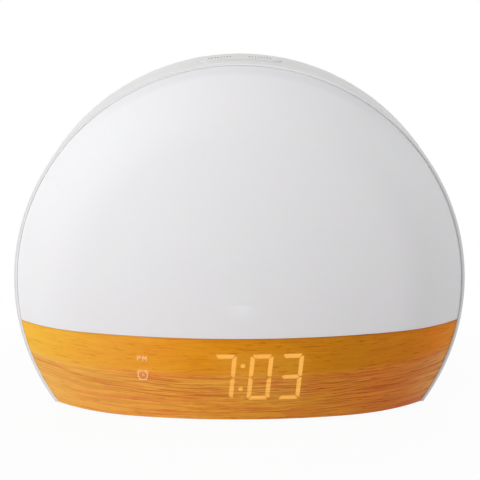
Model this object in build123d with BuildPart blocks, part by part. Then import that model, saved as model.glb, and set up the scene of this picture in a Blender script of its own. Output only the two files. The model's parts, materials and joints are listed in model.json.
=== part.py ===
from build123d import *
from math import atan2, cos, degrees, hypot, radians, sin, sqrt, tan
import os

os.makedirs("parts", exist_ok=True)

# A sunrise alarm clock in millimetres. +Z is up, the front faces -Y, and the origin lies under the middle of
# the clock, on the surface that it stands on.

# ---- Outline and shells ----
outline_radius = 95.0      # the round outline, at the housing's rim
front_bulge = 25.0         # the front's crown ahead of the rim
crown_radius = 245.0       # section radius of the front's crown
crown_reach = 67.0         # distance from the axis where the crown turns into the tighter shoulder
band_depth = 24.0          # straight band of the housing behind the rim
rear_round = 36.0          # radius that takes the band into the flat back
underside_drop = 51.8      # the outline's axis above the underside
split_drop = 14.3          # the outline's axis above the line between light cover and fascia
foot_height = 1.5
rim_lip = 1.3              # width of the rim that shows round the front covers
rim_gap = 0.1
rim_round = 0.4
split_gap = 0.12
housing_wall = 2.4
cover_wall = 2.2           # light cover and fascia
cover_skirt = 3.0          # how deep the covers reach into the rim
cover_edge_round = 0.5
base_thickness = 2.4
fit_gap = 0.25             # between mouldings that fit into one another
float_gap = 0.3            # between pieces that only pass each other

# ---- Light frame and light board ----
frame_wall = 2.0
dish_mouth_step = 9.0      # the dish's mouth inside the outline
dish_taper = 28.0          # its floor inside its mouth
dish_depth = 18.0          # dish floor behind the rim
dish_wall_step = 1.0
shelf_thickness = 3.0
light_board_radius = 50.0
board_thickness = 1.6
light_board_margin = 1.5   # above the shelf
emitter_size = (3.5, 2.8, 0.8)
emitter_pitch = (13.0, 13.0)
emitter_rows = 5
emitter_columns = 7
emitter_screw_room = 4.8   # from an emitter's middle to a screw's
light_screw_radius = 44.0
light_screw_angles = (15, 60, 120, 165)
light_boss_radius = 2.6
light_boss_height = 3.0
light_lead_hole_radius = 2.6

# ---- Time display ----
digit_height = 20.9
digit_width = 9.4
digit_stroke = 1.9
digit_pitch = 12.55
colon_room = 2.5           # extra pitch at the colon
digit_slant = 5.0          # degrees
digit_centre = (0.72, 21.6)
segment_gap = 0.22
corner_cut = 0.9
colon_dot_radius = 0.95
colon_spacing = 10.6
window_wall = 0.9          # fascia wall in front of the display
window_gap = 0.3
display_box_size = (54.4, 25.6)
display_back = 11.5        # display board ahead of the rim
display_board_margin = (7.2, 0.45)     # of the board beyond what it carries, sideways and up
display_screw_inset = (3.5, 3.5)
ribbon_slot = (7.0, 2.0)
ribbon_slot_rise = 20.0    # of the display ribbon's slot in the frame
display_boss_radius = 2.6
cell_gap = 0.05
indicator_centre = (-40.2, 25.5)
indicator_size = (7.4, 14.0)
indicator_wall = 1.2

# ---- Housing screws ----
well_points = ((38.0, 36.0), (52.0, 2.0), (40.0, -33.0))   # right-hand ones, from the outline's axis
well_radius = 4.4
well_bore = 3.4
well_floor = 2.5
frame_boss_height = 4.0
frame_boss_radius = 3.6
well_rib_thickness = 1.6
well_rib_depth = 20.0

# ---- Screws: shank radius, head radius, head height ----
big_screw = (1.5, 2.9, 2.1)
mid_screw = (1.25, 2.3, 1.5)
small_screw = (1.0, 1.9, 1.3)
thread_gap = 0.02
hole_gap = 0.25            # round a shank that passes through
end_gap = 0.5              # left beyond a screw's end in its hole
blind_end = 1.0            # least wall left at the end of a blind hole
driver_slot_span = 1.2     # of the driver slots, against the head's radius
driver_slot_width = 0.25
display_pilot_depth = 2.4
top_pilot_depth = 3.6

# ---- Rear keys ----
key_panel_size = (88.0, 27.0)
key_panel_round = 6.0
key_panel_drop = 12.0      # panel centre below the outline's axis
key_recess = 1.6
key_size = (14.0, 8.0)
key_pitch = (26.0, 13.5)
key_names = ("time", "alarm", "sound", "light", "down", "up")
key_columns = 3
key_proud = 1.2            # above the recessed panel
key_gap = 0.25
key_flange = 0.9
key_flange_thickness = 1.0
key_seat_gap = 0.05
key_round = 0.5
key_post_radius = 2.0
key_post_length = 1.4
key_travel = 0.5
switch_size = 6.0
switch_height = 3.5
plunger_radius = 1.75
plunger_gap = 0.05
plunger_proud = 1.0
plunger_length = 1.9
plunger_spare = 0.1
key_board_size = (88.0, 22.0)
key_boss_inset = 4.0       # from the key board's ends
key_boss_radius = 3.0

# ---- Top key ----
top_key_size = (34.0, 11.0)
top_key_round = 4.0
top_key_behind_rim = 13.5
top_key_proud = 0.5
top_key_depth = 5.4        # cap, from the band's outside down to its flange's underside
top_flange = 1.9
top_post_spread = 9.0
top_hollow = 3.0
top_key_wall = 1.8
grip_slots = 8
grip_pitch = 1.25
grip_slot_size = (0.55, 2.6)
grip_depth = 0.6
grip_offset = 8.3          # centre of each group from the key's middle
top_board_size = (56.0, 12.0)
top_boss_spread = 24.0
top_boss_radius = 2.8

# ---- Speaker ----
speaker_rise = 30.0        # above the outline's axis
speaker_radius = 20.0
speaker_hole_radius = 16.8
gasket_thickness = 1.6
gasket_inner_radius = 18.4
speaker_flange = 1.2
basket_floor_radius = 11.5
basket_depth = 8.3
basket_wall = 1.4
basket_windows = 4
basket_window_width = 9.0
magnet_radius = 13.0
magnet_height = 8.0
back_plate_radius = 11.5
back_plate_thickness = 1.4
pole_radius = 4.4
coil_radius = 4.8
coil_wall = 0.3
cone_thickness = 0.5
cone_radius = 15.2
cone_depth = 5.2
dust_cap_rise = 2.0
roll_thickness = 0.3
roll_foot_radius = 18.1
ear_radius = 3.2
ear_spread = 21.5
speaker_boss_radius = 2.6
grille_radius = 17.5
grille_slot = 1.8
grille_pitch = 3.6

# ---- Base ----
base_screw_rear = (6.75, 21.5)     # inside the housing's wall at the underside, and behind the rim
base_screw_front = (16.75, -4.5)
base_boss_radius = 3.4
base_boss_height = 12.0
base_rib_thickness = 1.6
sink_radius = 3.1
foot_radius = 6.0
foot_recess = 1.0
foot_gap = 0.1
foot_round = 0.4
front_foot = (14.0, -2.5)   # nearer the centre line than the front screws, and behind the rim
rear_foot = (56.0, 33.5)    # from the centre line, and behind the rim

# ---- Coin cell and its twist cap ----
cell_radius = 10.0
cell_thickness = 3.2
cell_point = (36.0, 41.8)
cell_cup_gap = 0.3
cap_radius = 11.3
cap_gap = 0.2
cap_sunk = 0.3
cap_thickness = 2.3
cap_tab_radius = 13.0
cap_tab_thickness = 1.2
cap_tab_width = 6.0
cap_turn = 60.0            # degrees to the notches
cap_pad_radius = 8.0
cap_pad_height = 1.6
cap_slot = (14.0, 2.0, 1.1)
cap_chamber_height = 1.8
cup_wall = 1.5
contact_thickness = 0.28
contact_width = 4.0
cell_top_gap = 1.3

# ---- Main board and power inlet ----
main_board_x = (-44.0, 17.0)
main_board_y = (22.5, 56.8)        # behind the rim
main_board_rise = 4.0              # above the base
board_corner = 1.5
chips = (((-22.0, 38.0), (10.0, 10.0, 1.6)), ((-6.0, 43.0), (5.0, 6.2, 1.5)), ((8.0, 36.0), (5.0, 4.0, 1.5)))
connector_size = (7.5, 4.6, 5.2)
connector_wall = 0.7
connector_depth = 2.6
connector_x = (-31.5, -22.5, -13.5, -4.5, 4.5)     # display, keys, light, speaker, top key
connector_behind_rim = 27.5
capacitors = ((-30.0, 50.0), (-23.0, 50.0), (-12.0, 52.0))
capacitor_radius = 2.6
capacitor_height = 5.6
standoff_radius = 3.0
standoff_inset = 4.0
usb_size = (8.94, 3.26)
usb_shell = 0.3
usb_depth = 7.35
usb_tongue = (6.7, 0.7, 5.0)
usb_bay = 6.2
usb_mouth_in_wall = 1.2
usb_opening_gap = 0.35
usb_recess = (13.0, 7.0, 0.8)

# ---- Leads between the boards ----
wire_radius = 0.6
wire_pitch = 1.6           # between the two wires of a lead
ribbon_size = (5.6, 0.6)
key_lead_rise = 4.0        # above the key board's lower edge
lead_slack = 14.0          # how far in front of the key board the speaker's lead hangs
lead_arc = 6.0
lead_wide_arc = 11.0
lead_drop = 12.0           # how high above its connector a lead turns down
top_lead_x = 7.5
top_lead_behind = 0.2      # between the top key's lead and the dish
top_lead_bend_rise = 4.0   # of its bend above the dish's floor

# ---- Places that follow from the above ----
centre_z = foot_height + underside_drop
underside_z = foot_height
base_top_z = underside_z + base_thickness
total_depth = front_bulge + band_depth + rear_round
rear_y = total_depth / 2
rim_y = front_bulge - total_depth / 2
band_end_y = rim_y + band_depth
seat_y = rim_y + cover_skirt
inner_rear_y = rear_y - housing_wall
flat_radius = outline_radius - rear_round
inner_radius = outline_radius - housing_wall
dish_mouth_radius = outline_radius - dish_mouth_step
dish_floor_radius = dish_mouth_radius - dish_taper
edge_radius = outline_radius - rim_lip - rim_gap
split_z = centre_z - split_drop
dish_front_y = rim_y + dish_depth
dish_back_y = dish_front_y + frame_wall
well_front_y = dish_back_y + frame_boss_height
display_y = rim_y - display_back
size_beyond = 2 * outline_radius   # a length that reaches past the whole clock

lathe_plane = Plane.XY.offset(centre_z)
depth_axis = Axis((0, 0, centre_z), (0, 1, 0))


def upright(y):
    """An upright plane at depth y. Its X is the clock's X, its Y is up, and it faces the front."""
    return Plane(origin=(0, y, 0), x_dir=(1, 0, 0), z_dir=(0, -1, 0))


def facing_rear(y):
    """An upright plane at depth y that faces the back. Its X is the clock's X reversed, and its Y is up."""
    return Plane(origin=(0, y, 0), x_dir=(-1, 0, 0), z_dir=(0, 1, 0))


def level(z):
    """A level plane at height z that faces up."""
    return Plane.XY.offset(z)


on_floor = (Align.CENTER, Align.CENTER, Align.MIN)   # centred, standing on the given height


def both_sides(points):
    """The given right-hand points and their left-hand twins."""
    return [(side * x, z) for x, z in points for side in (1, -1)]


def front_section(inset, back_y):
    """Half section of the domed front, all its faces inset, closed at back_y: crown, shoulder and skirt."""
    crown_centre_y = rim_y - front_bulge + crown_radius
    radius = crown_radius - inset
    reach = crown_reach * radius / crown_radius
    with BuildSketch(lathe_plane) as section:
        with BuildLine():
            crown = RadiusArc(
                (0, crown_centre_y - radius), (reach, crown_centre_y - sqrt(radius**2 - reach**2)), -radius
            )
            shoulder = TangentArc(crown @ 1, (edge_radius - inset, rim_y), tangent=crown % 1)
            Polyline(shoulder @ 1, (edge_radius - inset, back_y), (0, back_y), crown @ 0)
        make_face()
    return section.sketch


def housing_section(inset):
    """Half section of the housing's body, all its faces inset apart from the open front."""
    with BuildSketch(lathe_plane) as section:
        with BuildLine():
            side = outline_radius - inset
            band = Polyline((0, rim_y), (side, rim_y), (side, band_end_y))
            turn = RadiusArc(band @ 1, (flat_radius, rear_y - inset), -(rear_round - inset))
            Polyline(turn @ 1, (0, rear_y - inset), (0, rim_y))
        make_face()
    return section.sketch


def interior_section():
    """Half section of the room inside the shells, a fit gap clear of them all."""
    front = front_section(cover_wall + fit_gap, seat_y + fit_gap)
    with BuildSketch(lathe_plane) as section:
        with BuildLine():
            wall_radius = inner_radius - fit_gap
            step_y = seat_y + fit_gap
            back_y = inner_rear_y - fit_gap
            step = Polyline((0, step_y), (wall_radius, step_y), (wall_radius, band_end_y))
            turn = RadiusArc(step @ 1, (flat_radius, back_y), -(rear_round - housing_wall - fit_gap))
            Polyline(turn @ 1, (0, back_y), (0, step_y))
        make_face()
        add(front)
    return section.sketch


def pan_screws(plane, points, screw, length):
    """Pan-head screws: heads on the plane with crossed driver slots, shanks along the plane's normal."""
    shank_radius, head_radius, head_height = screw
    with BuildPart() as screws:
        with BuildSketch(plane):
            with Locations(*points):
                Circle(head_radius)
        extrude(amount=-head_height)
        tops = screws.edges().filter_by(GeomType.CIRCLE).group_by(Axis(plane.origin, plane.z_dir))[0]
        chamfer(tops, head_height / 4)
        with BuildSketch(plane):
            with Locations(*points):
                Circle(shank_radius)
        extrude(amount=length)
        with BuildSketch(plane.offset(-head_height)):
            with Locations(*points):
                Rectangle(head_radius * driver_slot_span, head_radius * driver_slot_width)
                Rectangle(head_radius * driver_slot_width, head_radius * driver_slot_span)
        extrude(amount=head_height / 2, mode=Mode.SUBTRACT)
    return screws.part


def sunk_screws(points, height, screw_radius, length):
    """Countersunk screws driven up into the underside, with their heads flush at the given height."""
    with BuildPart() as screws:
        with Locations(*[(x, y, height) for x, y in points]):
            Cone(sink_radius, screw_radius, sink_radius - screw_radius, align=on_floor)
            Cylinder(screw_radius, length, align=on_floor)
        with BuildSketch(level(height)):
            with Locations(*points):
                Rectangle(sink_radius * driver_slot_span, sink_radius * driver_slot_width)
                Rectangle(sink_radius * driver_slot_width, sink_radius * driver_slot_span)
        extrude(amount=(sink_radius - screw_radius) / 2, mode=Mode.SUBTRACT)
    return screws.part


# ---- Front covers ----
def window_pocket(centre_x, centre_height, width, height):
    """What is taken out behind a window, so that only its thin front wall is left."""
    with BuildPart() as pocket:
        revolve(front_section(window_wall, seat_y), axis=depth_axis)
        with BuildSketch(upright(rim_y)):
            with Locations((centre_x, centre_height)):
                Rectangle(width, height)
        extrude(amount=front_bulge, mode=Mode.INTERSECT)
    return pocket.part


def cover(pockets):
    """The whole domed front as one shell, less the given pockets."""
    with BuildPart() as shell:
        revolve(front_section(0, seat_y), axis=depth_axis)
        rim_edge = shell.edges().filter_by(GeomType.CIRCLE).group_by(Axis.Y)[-2]
        fillet(rim_edge, cover_edge_round)
        revolve(front_section(cover_wall, seat_y), axis=depth_axis, mode=Mode.SUBTRACT)
        for pocket in pockets:
            add(pocket, mode=Mode.SUBTRACT)
    return shell.part


display_window = window_pocket(
    *digit_centre, display_box_size[0] + 2 * fit_gap, display_box_size[1] + 2 * fit_gap
)
indicator_window = window_pocket(
    *indicator_centre, indicator_size[0] + 2 * fit_gap, indicator_size[1] + 2 * fit_gap
)

with BuildPart() as front_diffuser:
    add(cover([]))
    split(bisect_by=level(split_z + split_gap / 2), keep=Keep.TOP)
front_diffuser.part.label = "front_diffuser"
export_step(front_diffuser.part, "parts/front_diffuser.step")

# The display board spans the light box and the indicator, and is screwed to the fascia at its corners.
board_left = indicator_centre[0] - indicator_size[0] / 2 - display_board_margin[0]
board_right = digit_centre[0] + display_box_size[0] / 2 + display_board_margin[0]
display_board_centre = ((board_left + board_right) / 2, digit_centre[1])
display_board_size = (board_right - board_left, display_box_size[1] + 2 * display_board_margin[1])
board_half_x = display_board_size[0] / 2 - display_screw_inset[0]
board_half_z = display_board_size[1] / 2 - display_screw_inset[1]
display_screw_points = [
    (display_board_centre[0] + i * board_half_x, display_board_centre[1] + j * board_half_z)
    for i in (-1, 1)
    for j in (-1, 1)
]
base_half_width = sqrt(inner_radius**2 - underside_drop**2)
front_screw_x = base_half_width - base_screw_front[0]
rear_screw_x = base_half_width - base_screw_rear[0]
front_base_points = [(side * front_screw_x, rim_y + base_screw_front[1]) for side in (-1, 1)]
rear_base_points = [(side * rear_screw_x, rim_y + base_screw_rear[1]) for side in (-1, 1)]
base_pilot_depth = base_boss_height - cover_wall

with BuildPart() as wood_panel:
    # Bosses and ribs first, as long as the panel is deep, then trimmed to its outside.
    with BuildSketch(upright(display_y)):
        with Locations(*display_screw_points):
            Circle(display_boss_radius)
    extrude(amount=front_bulge)
    with BuildSketch(level(base_top_z)):
        with Locations(*front_base_points):
            Circle(base_boss_radius)
            with Locations((0, -base_boss_height)):
                Rectangle(base_rib_thickness, 2 * base_boss_height)
    extrude(amount=base_boss_height)
    revolve(front_section(cover_wall / 2, seat_y), axis=depth_axis, mode=Mode.INTERSECT)
    add(cover([display_window, indicator_window]))
    with BuildSketch(upright(display_y)):
        with Locations(*display_screw_points):
            Circle(small_screw[0] + thread_gap)
    extrude(amount=display_pilot_depth, mode=Mode.SUBTRACT)
    with BuildSketch(level(base_top_z)):
        with Locations(*front_base_points):
            Circle(mid_screw[0] + thread_gap)
    extrude(amount=base_pilot_depth, mode=Mode.SUBTRACT)
    split(bisect_by=level(split_z - split_gap / 2), keep=Keep.BOTTOM)
    split(bisect_by=level(underside_z), keep=Keep.TOP)
wood_panel.part.label = "wood_panel"
export_step(wood_panel.part, "parts/wood_panel.step")

# ---- Rear housing ----
well_places = [(x, centre_z + rise) for x, rise in both_sides(well_points)]
key_panel_z = centre_z - key_panel_drop
key_panel_y = rear_y - key_recess                    # outside face of the recessed key panel
key_wall_y = key_panel_y - housing_wall              # its inside face
key_flange_y = key_wall_y - key_seat_gap
key_post_y = key_flange_y - key_flange_thickness - key_post_length
switch_face_y = key_post_y - plunger_proud
key_board_y = switch_face_y - switch_height
key_boss_points = [(side * (key_board_size[0] / 2 - key_boss_inset), key_panel_z) for side in (-1, 1)]
key_rows = len(key_names) // key_columns
key_places = [
    (
        (column - (key_columns - 1) / 2) * key_pitch[0],
        key_panel_z + ((key_rows - 1) / 2 - row) * key_pitch[1],
    )
    for row in range(key_rows)
    for column in range(key_columns)
]

speaker_z = centre_z + speaker_rise
speaker_axis = Axis((0, 0, speaker_z), (0, 1, 0))
speaker_plane = Plane.XY.offset(speaker_z)
speaker_flange_y = inner_rear_y - gasket_thickness - speaker_flange
speaker_pilot_depth = gasket_thickness + housing_wall - blind_end
ear_step = ear_spread / sqrt(2)
ear_points = [(i * ear_step, speaker_z + j * ear_step) for i in (-1, 1) for j in (-1, 1)]

top_key_y = rim_y + top_key_behind_rim
top_flange_z = centre_z + outline_radius - top_key_depth        # underside of the top key's flange
top_post_z = top_flange_z - key_post_length
top_switch_z = top_post_z - plunger_proud
top_board_z = top_switch_z - switch_height                      # upper face of its board
top_board_y = top_key_y + (top_board_size[1] - switch_size) / 4
top_boss_points = [(side * top_boss_spread, top_board_y) for side in (-1, 1)]

main_board_z = base_top_z + main_board_rise
usb_z = main_board_z + board_thickness + usb_size[1] / 2


def housing_shell():
    """The housing's plain shell, its rim bored out to take the skirts of the front covers."""
    with BuildPart() as shell:
        revolve(housing_section(0), axis=depth_axis)
        revolve(housing_section(housing_wall), axis=depth_axis, mode=Mode.SUBTRACT)
        with BuildSketch(upright(rim_y)):
            with Locations((0, centre_z)):
                Circle(outline_radius - rim_lip)
        extrude(amount=-cover_skirt, mode=Mode.SUBTRACT)
        rim_edges = shell.edges().filter_by(GeomType.CIRCLE).group_by(Axis.Y)[0]
        fillet(rim_edges.sort_by(SortBy.RADIUS)[-1], rim_round)
    return shell.part


with BuildPart() as rear_housing:
    # Everything inside is drawn out past the wall first, then trimmed to the middle of it.
    with BuildSketch(upright(inner_rear_y)):
        with Locations(*well_places):
            Circle(well_radius)
    extrude(amount=inner_rear_y - well_front_y)
    with BuildSketch(upright(inner_rear_y)):
        for x, z in well_places:
            with Locations(Location((x, z, 0), (0, 0, degrees(atan2(z - centre_z, x))))):
                Rectangle(outline_radius, well_rib_thickness, align=(Align.MIN, Align.CENTER))
    extrude(amount=well_rib_depth)
    with BuildSketch(upright(rear_y)):
        with Locations((0, key_panel_z)):
            RectangleRounded(
                key_panel_size[0] + 2 * housing_wall,
                key_panel_size[1] + 2 * housing_wall,
                key_panel_round + housing_wall,
            )
    extrude(amount=rear_y - key_wall_y)
    with BuildSketch(upright(key_wall_y)):
        with Locations(*key_boss_points):
            Circle(key_boss_radius)
    extrude(amount=key_wall_y - key_board_y)
    with BuildSketch(upright(rear_y)):
        with Locations(*ear_points):
            Circle(speaker_boss_radius)
    extrude(amount=housing_wall + gasket_thickness)
    with BuildSketch(level(base_top_z)):
        for x, y in rear_base_points:
            with Locations((x, y)):
                Circle(base_boss_radius)
                outward = Align.MIN if x > 0 else Align.MAX
                Rectangle(outline_radius, base_rib_thickness, align=(outward, Align.CENTER))
    extrude(amount=base_boss_height)
    with BuildSketch(level(top_board_z)):
        with Locations(*top_boss_points):
            Circle(top_boss_radius)
    extrude(amount=outline_radius)
    revolve(housing_section(housing_wall / 2), axis=depth_axis, mode=Mode.INTERSECT)
    split(bisect_by=level(base_top_z), keep=Keep.TOP)
    add(housing_shell())

    # Screw wells, open to the back.
    with BuildSketch(upright(rear_y)):
        with Locations(*well_places):
            Circle(well_bore)
    extrude(amount=rear_y - well_front_y - well_floor, mode=Mode.SUBTRACT)
    with BuildSketch(upright(well_front_y)):
        with Locations(*well_places):
            Circle(big_screw[0] + hole_gap)
    extrude(amount=-well_floor, mode=Mode.SUBTRACT)
    # Recessed key panel and its six openings.
    with BuildSketch(upright(rear_y)):
        with Locations((0, key_panel_z)):
            RectangleRounded(*key_panel_size, key_panel_round)
    extrude(amount=key_recess, mode=Mode.SUBTRACT)
    with BuildSketch(upright(key_panel_y)):
        with Locations(*key_places):
            SlotOverall(key_size[0] + 2 * key_gap, key_size[1] + 2 * key_gap)
    extrude(amount=housing_wall, mode=Mode.SUBTRACT)
    with BuildSketch(upright(key_board_y)):
        with Locations(*key_boss_points):
            Circle(mid_screw[0] + thread_gap)
    extrude(amount=-(key_wall_y - key_board_y), mode=Mode.SUBTRACT)
    # Speaker grille: upright slots inside a circle.
    with BuildSketch(upright(rear_y)):
        for i in range(-int(grille_radius / grille_pitch), int(grille_radius / grille_pitch) + 1):
            with Locations((i * grille_pitch, speaker_z)):
                SlotOverall(2 * sqrt(grille_radius**2 - (i * grille_pitch) ** 2), grille_slot, rotation=90)
    extrude(amount=housing_wall, mode=Mode.SUBTRACT)
    with BuildSketch(upright(inner_rear_y - gasket_thickness)):
        with Locations(*ear_points):
            Circle(small_screw[0] + thread_gap)
    extrude(amount=-speaker_pilot_depth, mode=Mode.SUBTRACT)
    # Power inlet opening, with a shallow recess for the plug's grip.
    with BuildSketch(upright(rear_y)):
        with Locations((0, usb_z)):
            SlotOverall(usb_size[0] + 2 * usb_opening_gap, usb_size[1] + 2 * usb_opening_gap)
    extrude(amount=housing_wall, mode=Mode.SUBTRACT)
    with BuildSketch(upright(rear_y)):
        with Locations((0, usb_z)):
            SlotOverall(usb_recess[0], usb_recess[1])
    extrude(amount=usb_recess[2], mode=Mode.SUBTRACT)
    # Opening for the top key.
    with BuildSketch(level(top_flange_z)):
        with Locations((0, top_key_y)):
            RectangleRounded(
                top_key_size[0] + 2 * key_gap, top_key_size[1] + 2 * key_gap, top_key_round + key_gap
            )
    extrude(amount=outline_radius, mode=Mode.SUBTRACT)
    with BuildSketch(level(top_board_z)):
        with Locations(*top_boss_points):
            Circle(small_screw[0] + thread_gap)
    extrude(amount=top_pilot_depth, mode=Mode.SUBTRACT)
    with BuildSketch(level(base_top_z)):
        with Locations(*rear_base_points):
            Circle(mid_screw[0] + thread_gap)
    extrude(amount=base_pilot_depth, mode=Mode.SUBTRACT)
    split(bisect_by=level(underside_z), keep=Keep.TOP)
rear_housing.part.label = "rear_housing"
export_step(rear_housing.part, "parts/rear_housing.step")

# ---- Light frame ----
frame_bottom_z = base_top_z + fit_gap
shelf_top_z = split_z + shelf_thickness / 2
shelf_bottom_z = split_z - shelf_thickness / 2
light_board_bottom_z = shelf_top_z + light_board_margin
light_screw_points = [
    (light_screw_radius * cos(radians(angle)), centre_z + light_screw_radius * sin(radians(angle)))
    for angle in light_screw_angles
]
dish_floor_back_radius = dish_floor_radius + dish_wall_step
dish_mouth_back_radius = dish_mouth_radius + dish_wall_step
flange_radius = inner_radius - fit_gap
frame_pilot_depth = frame_boss_height + frame_wall - blind_end
light_pilot_depth = frame_wall + light_boss_height - blind_end


def dish_section(front_points):
    """Half section of the frame's dish behind the given front points, from the rim flange to the axis."""
    with BuildSketch(lathe_plane) as section:
        with BuildLine():
            Polyline(
                *front_points,
                (flange_radius, seat_y),
                (flange_radius, seat_y + frame_wall),
                (dish_mouth_back_radius, seat_y + frame_wall),
                (dish_floor_back_radius, dish_back_y),
                (0, dish_back_y),
                front_points[0],
            )
        make_face()
    return section.sketch


with BuildPart() as light_frame:
    # The divider shelf: a level slab trimmed to the room inside the covers and to the back of the dish.
    revolve(dish_section([(0, seat_y)]), axis=depth_axis)
    revolve(front_section(cover_wall + fit_gap, seat_y), axis=depth_axis)
    with BuildSketch(level(shelf_bottom_z)):
        Rectangle(size_beyond, size_beyond)
    extrude(amount=shelf_thickness, mode=Mode.INTERSECT)
    revolve(
        dish_section([(0, dish_front_y), (dish_floor_radius, dish_front_y), (dish_mouth_radius, seat_y)]),
        axis=depth_axis,
    )
    with BuildSketch(upright(dish_back_y)):
        with Locations(*well_places):
            Circle(frame_boss_radius)
    extrude(amount=-frame_boss_height)
    with BuildSketch(upright(dish_back_y)):
        with Locations(*light_screw_points):
            Circle(light_boss_radius)
    extrude(amount=-light_boss_height)
    # Screw holes stop short of the lit side, apart from those that come from it.
    with BuildSketch(upright(well_front_y)):
        with Locations(*well_places):
            Circle(big_screw[0] + thread_gap)
    extrude(amount=frame_pilot_depth, mode=Mode.SUBTRACT)
    with BuildSketch(upright(dish_front_y)):
        with Locations(*light_screw_points):
            Circle(small_screw[0] + thread_gap)
    extrude(amount=-light_pilot_depth, mode=Mode.SUBTRACT)
    with BuildSketch(upright(dish_front_y)):
        with Locations((0, light_board_bottom_z + 2 * light_lead_hole_radius)):
            Circle(light_lead_hole_radius)
        with Locations((connector_x[0], ribbon_slot_rise)):
            Rectangle(*ribbon_slot)
    extrude(amount=-frame_wall, mode=Mode.SUBTRACT)
    split(bisect_by=level(frame_bottom_z), keep=Keep.TOP)
light_frame.part.label = "light_frame"
export_step(light_frame.part, "parts/light_frame.step")

# ---- Base plate, with the coin cell's cup, the foot recesses and the main board's posts ----
cell_x = cell_point[0]
cell_y = rim_y + cell_point[1]
tab_floor_z = base_top_z
cell_z = underside_z + cap_sunk + cap_thickness + cap_pad_height
cup_roof_z = cell_z + cell_thickness + cell_top_gap
foot_places = ((front_screw_x - front_foot[0], front_foot[1]), rear_foot)
foot_points = [(side * x, rim_y + behind) for x, behind in foot_places for side in (-1, 1)]
main_board_centre = (sum(main_board_x) / 2, rim_y + sum(main_board_y) / 2)
main_board_size = (main_board_x[1] - main_board_x[0], main_board_y[1] - main_board_y[0])
standoff_points = [
    (
        main_board_centre[0] + i * (main_board_size[0] / 2 - standoff_inset),
        main_board_centre[1] + j * (main_board_size[1] / 2 - standoff_inset),
    )
    for i in (-1, 1)
    for j in (-1, 1)
]
base_screw_points = front_base_points + rear_base_points
standoff_pilot_depth = main_board_rise + base_thickness - blind_end

with BuildPart() as base_plate:
    revolve(interior_section(), axis=depth_axis)
    with BuildSketch(level(underside_z)):
        Rectangle(size_beyond, size_beyond)
    extrude(amount=base_thickness, mode=Mode.INTERSECT)
    # Cup for the cell: a wide ring in which the cap's tabs turn, and a narrower cup above it.
    with BuildSketch(level(tab_floor_z)):
        with Locations((cell_x, cell_y)):
            Circle(cap_tab_radius + float_gap + cup_wall)
    extrude(amount=cap_chamber_height + cup_wall)
    with BuildSketch(level(tab_floor_z)):
        with Locations((cell_x, cell_y)):
            Circle(cell_radius + cell_cup_gap + cup_wall)
    extrude(amount=cup_roof_z + cup_wall - tab_floor_z)
    with BuildSketch(level(tab_floor_z)):
        with Locations((cell_x, cell_y)):
            Circle(cap_tab_radius + float_gap)
    extrude(amount=cap_chamber_height, mode=Mode.SUBTRACT)
    with BuildSketch(level(underside_z)):
        with Locations((cell_x, cell_y)):
            Circle(cell_radius + cell_cup_gap)
    extrude(amount=cup_roof_z - underside_z, mode=Mode.SUBTRACT)
    with BuildSketch(level(underside_z)):
        with Locations((cell_x, cell_y)):
            Circle(cap_radius + cap_gap)
        with Locations(Location((cell_x, cell_y, 0), (0, 0, cap_turn))):
            Rectangle(2 * (cap_tab_radius + cap_gap), cap_tab_width + 2 * cap_gap)
    extrude(amount=base_thickness, mode=Mode.SUBTRACT)
    with BuildSketch(level(underside_z)):
        with Locations(*foot_points):
            Circle(foot_radius + foot_gap)
    extrude(amount=foot_recess, mode=Mode.SUBTRACT)
    with BuildSketch(level(base_top_z)):
        with Locations(*standoff_points):
            Circle(standoff_radius)
    extrude(amount=main_board_rise)
    with BuildSketch(level(main_board_z)):
        with Locations(*standoff_points):
            Circle(mid_screw[0] + thread_gap)
    extrude(amount=-standoff_pilot_depth, mode=Mode.SUBTRACT)
    with Locations(*[(x, y, underside_z) for x, y in base_screw_points]):
        Cone(
            sink_radius + hole_gap,
            mid_screw[0] + hole_gap,
            sink_radius - mid_screw[0],
            align=on_floor,
            mode=Mode.SUBTRACT,
        )
        Cylinder(
            mid_screw[0] + hole_gap,
            base_thickness,
            align=on_floor,
            mode=Mode.SUBTRACT,
        )
base_plate.part.label = "base_plate"
export_step(base_plate.part, "parts/base_plate.step")

with BuildPart() as rubber_feet:
    with BuildSketch():
        with Locations(*foot_points):
            Circle(foot_radius)
    extrude(amount=foot_height + foot_recess)
    fillet(rubber_feet.edges().filter_by(GeomType.CIRCLE).group_by(Axis.Z)[0], foot_round)
rubber_feet.part.label = "rubber_feet"
export_step(rubber_feet.part, "parts/rubber_feet.step")

# ---- Coin cell, contacts and the twist cap ----
with BuildPart() as coin_cell:
    with BuildSketch(level(cell_z)):
        with Locations((cell_x, cell_y)):
            Circle(cell_radius)
    extrude(amount=cell_thickness)
    chamfer(coin_cell.edges().filter_by(GeomType.CIRCLE).group_by(Axis.Z)[0], cell_thickness / 8)
coin_cell.part.label = "coin_cell"
export_step(coin_cell.part, "parts/coin_cell.step")

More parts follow.
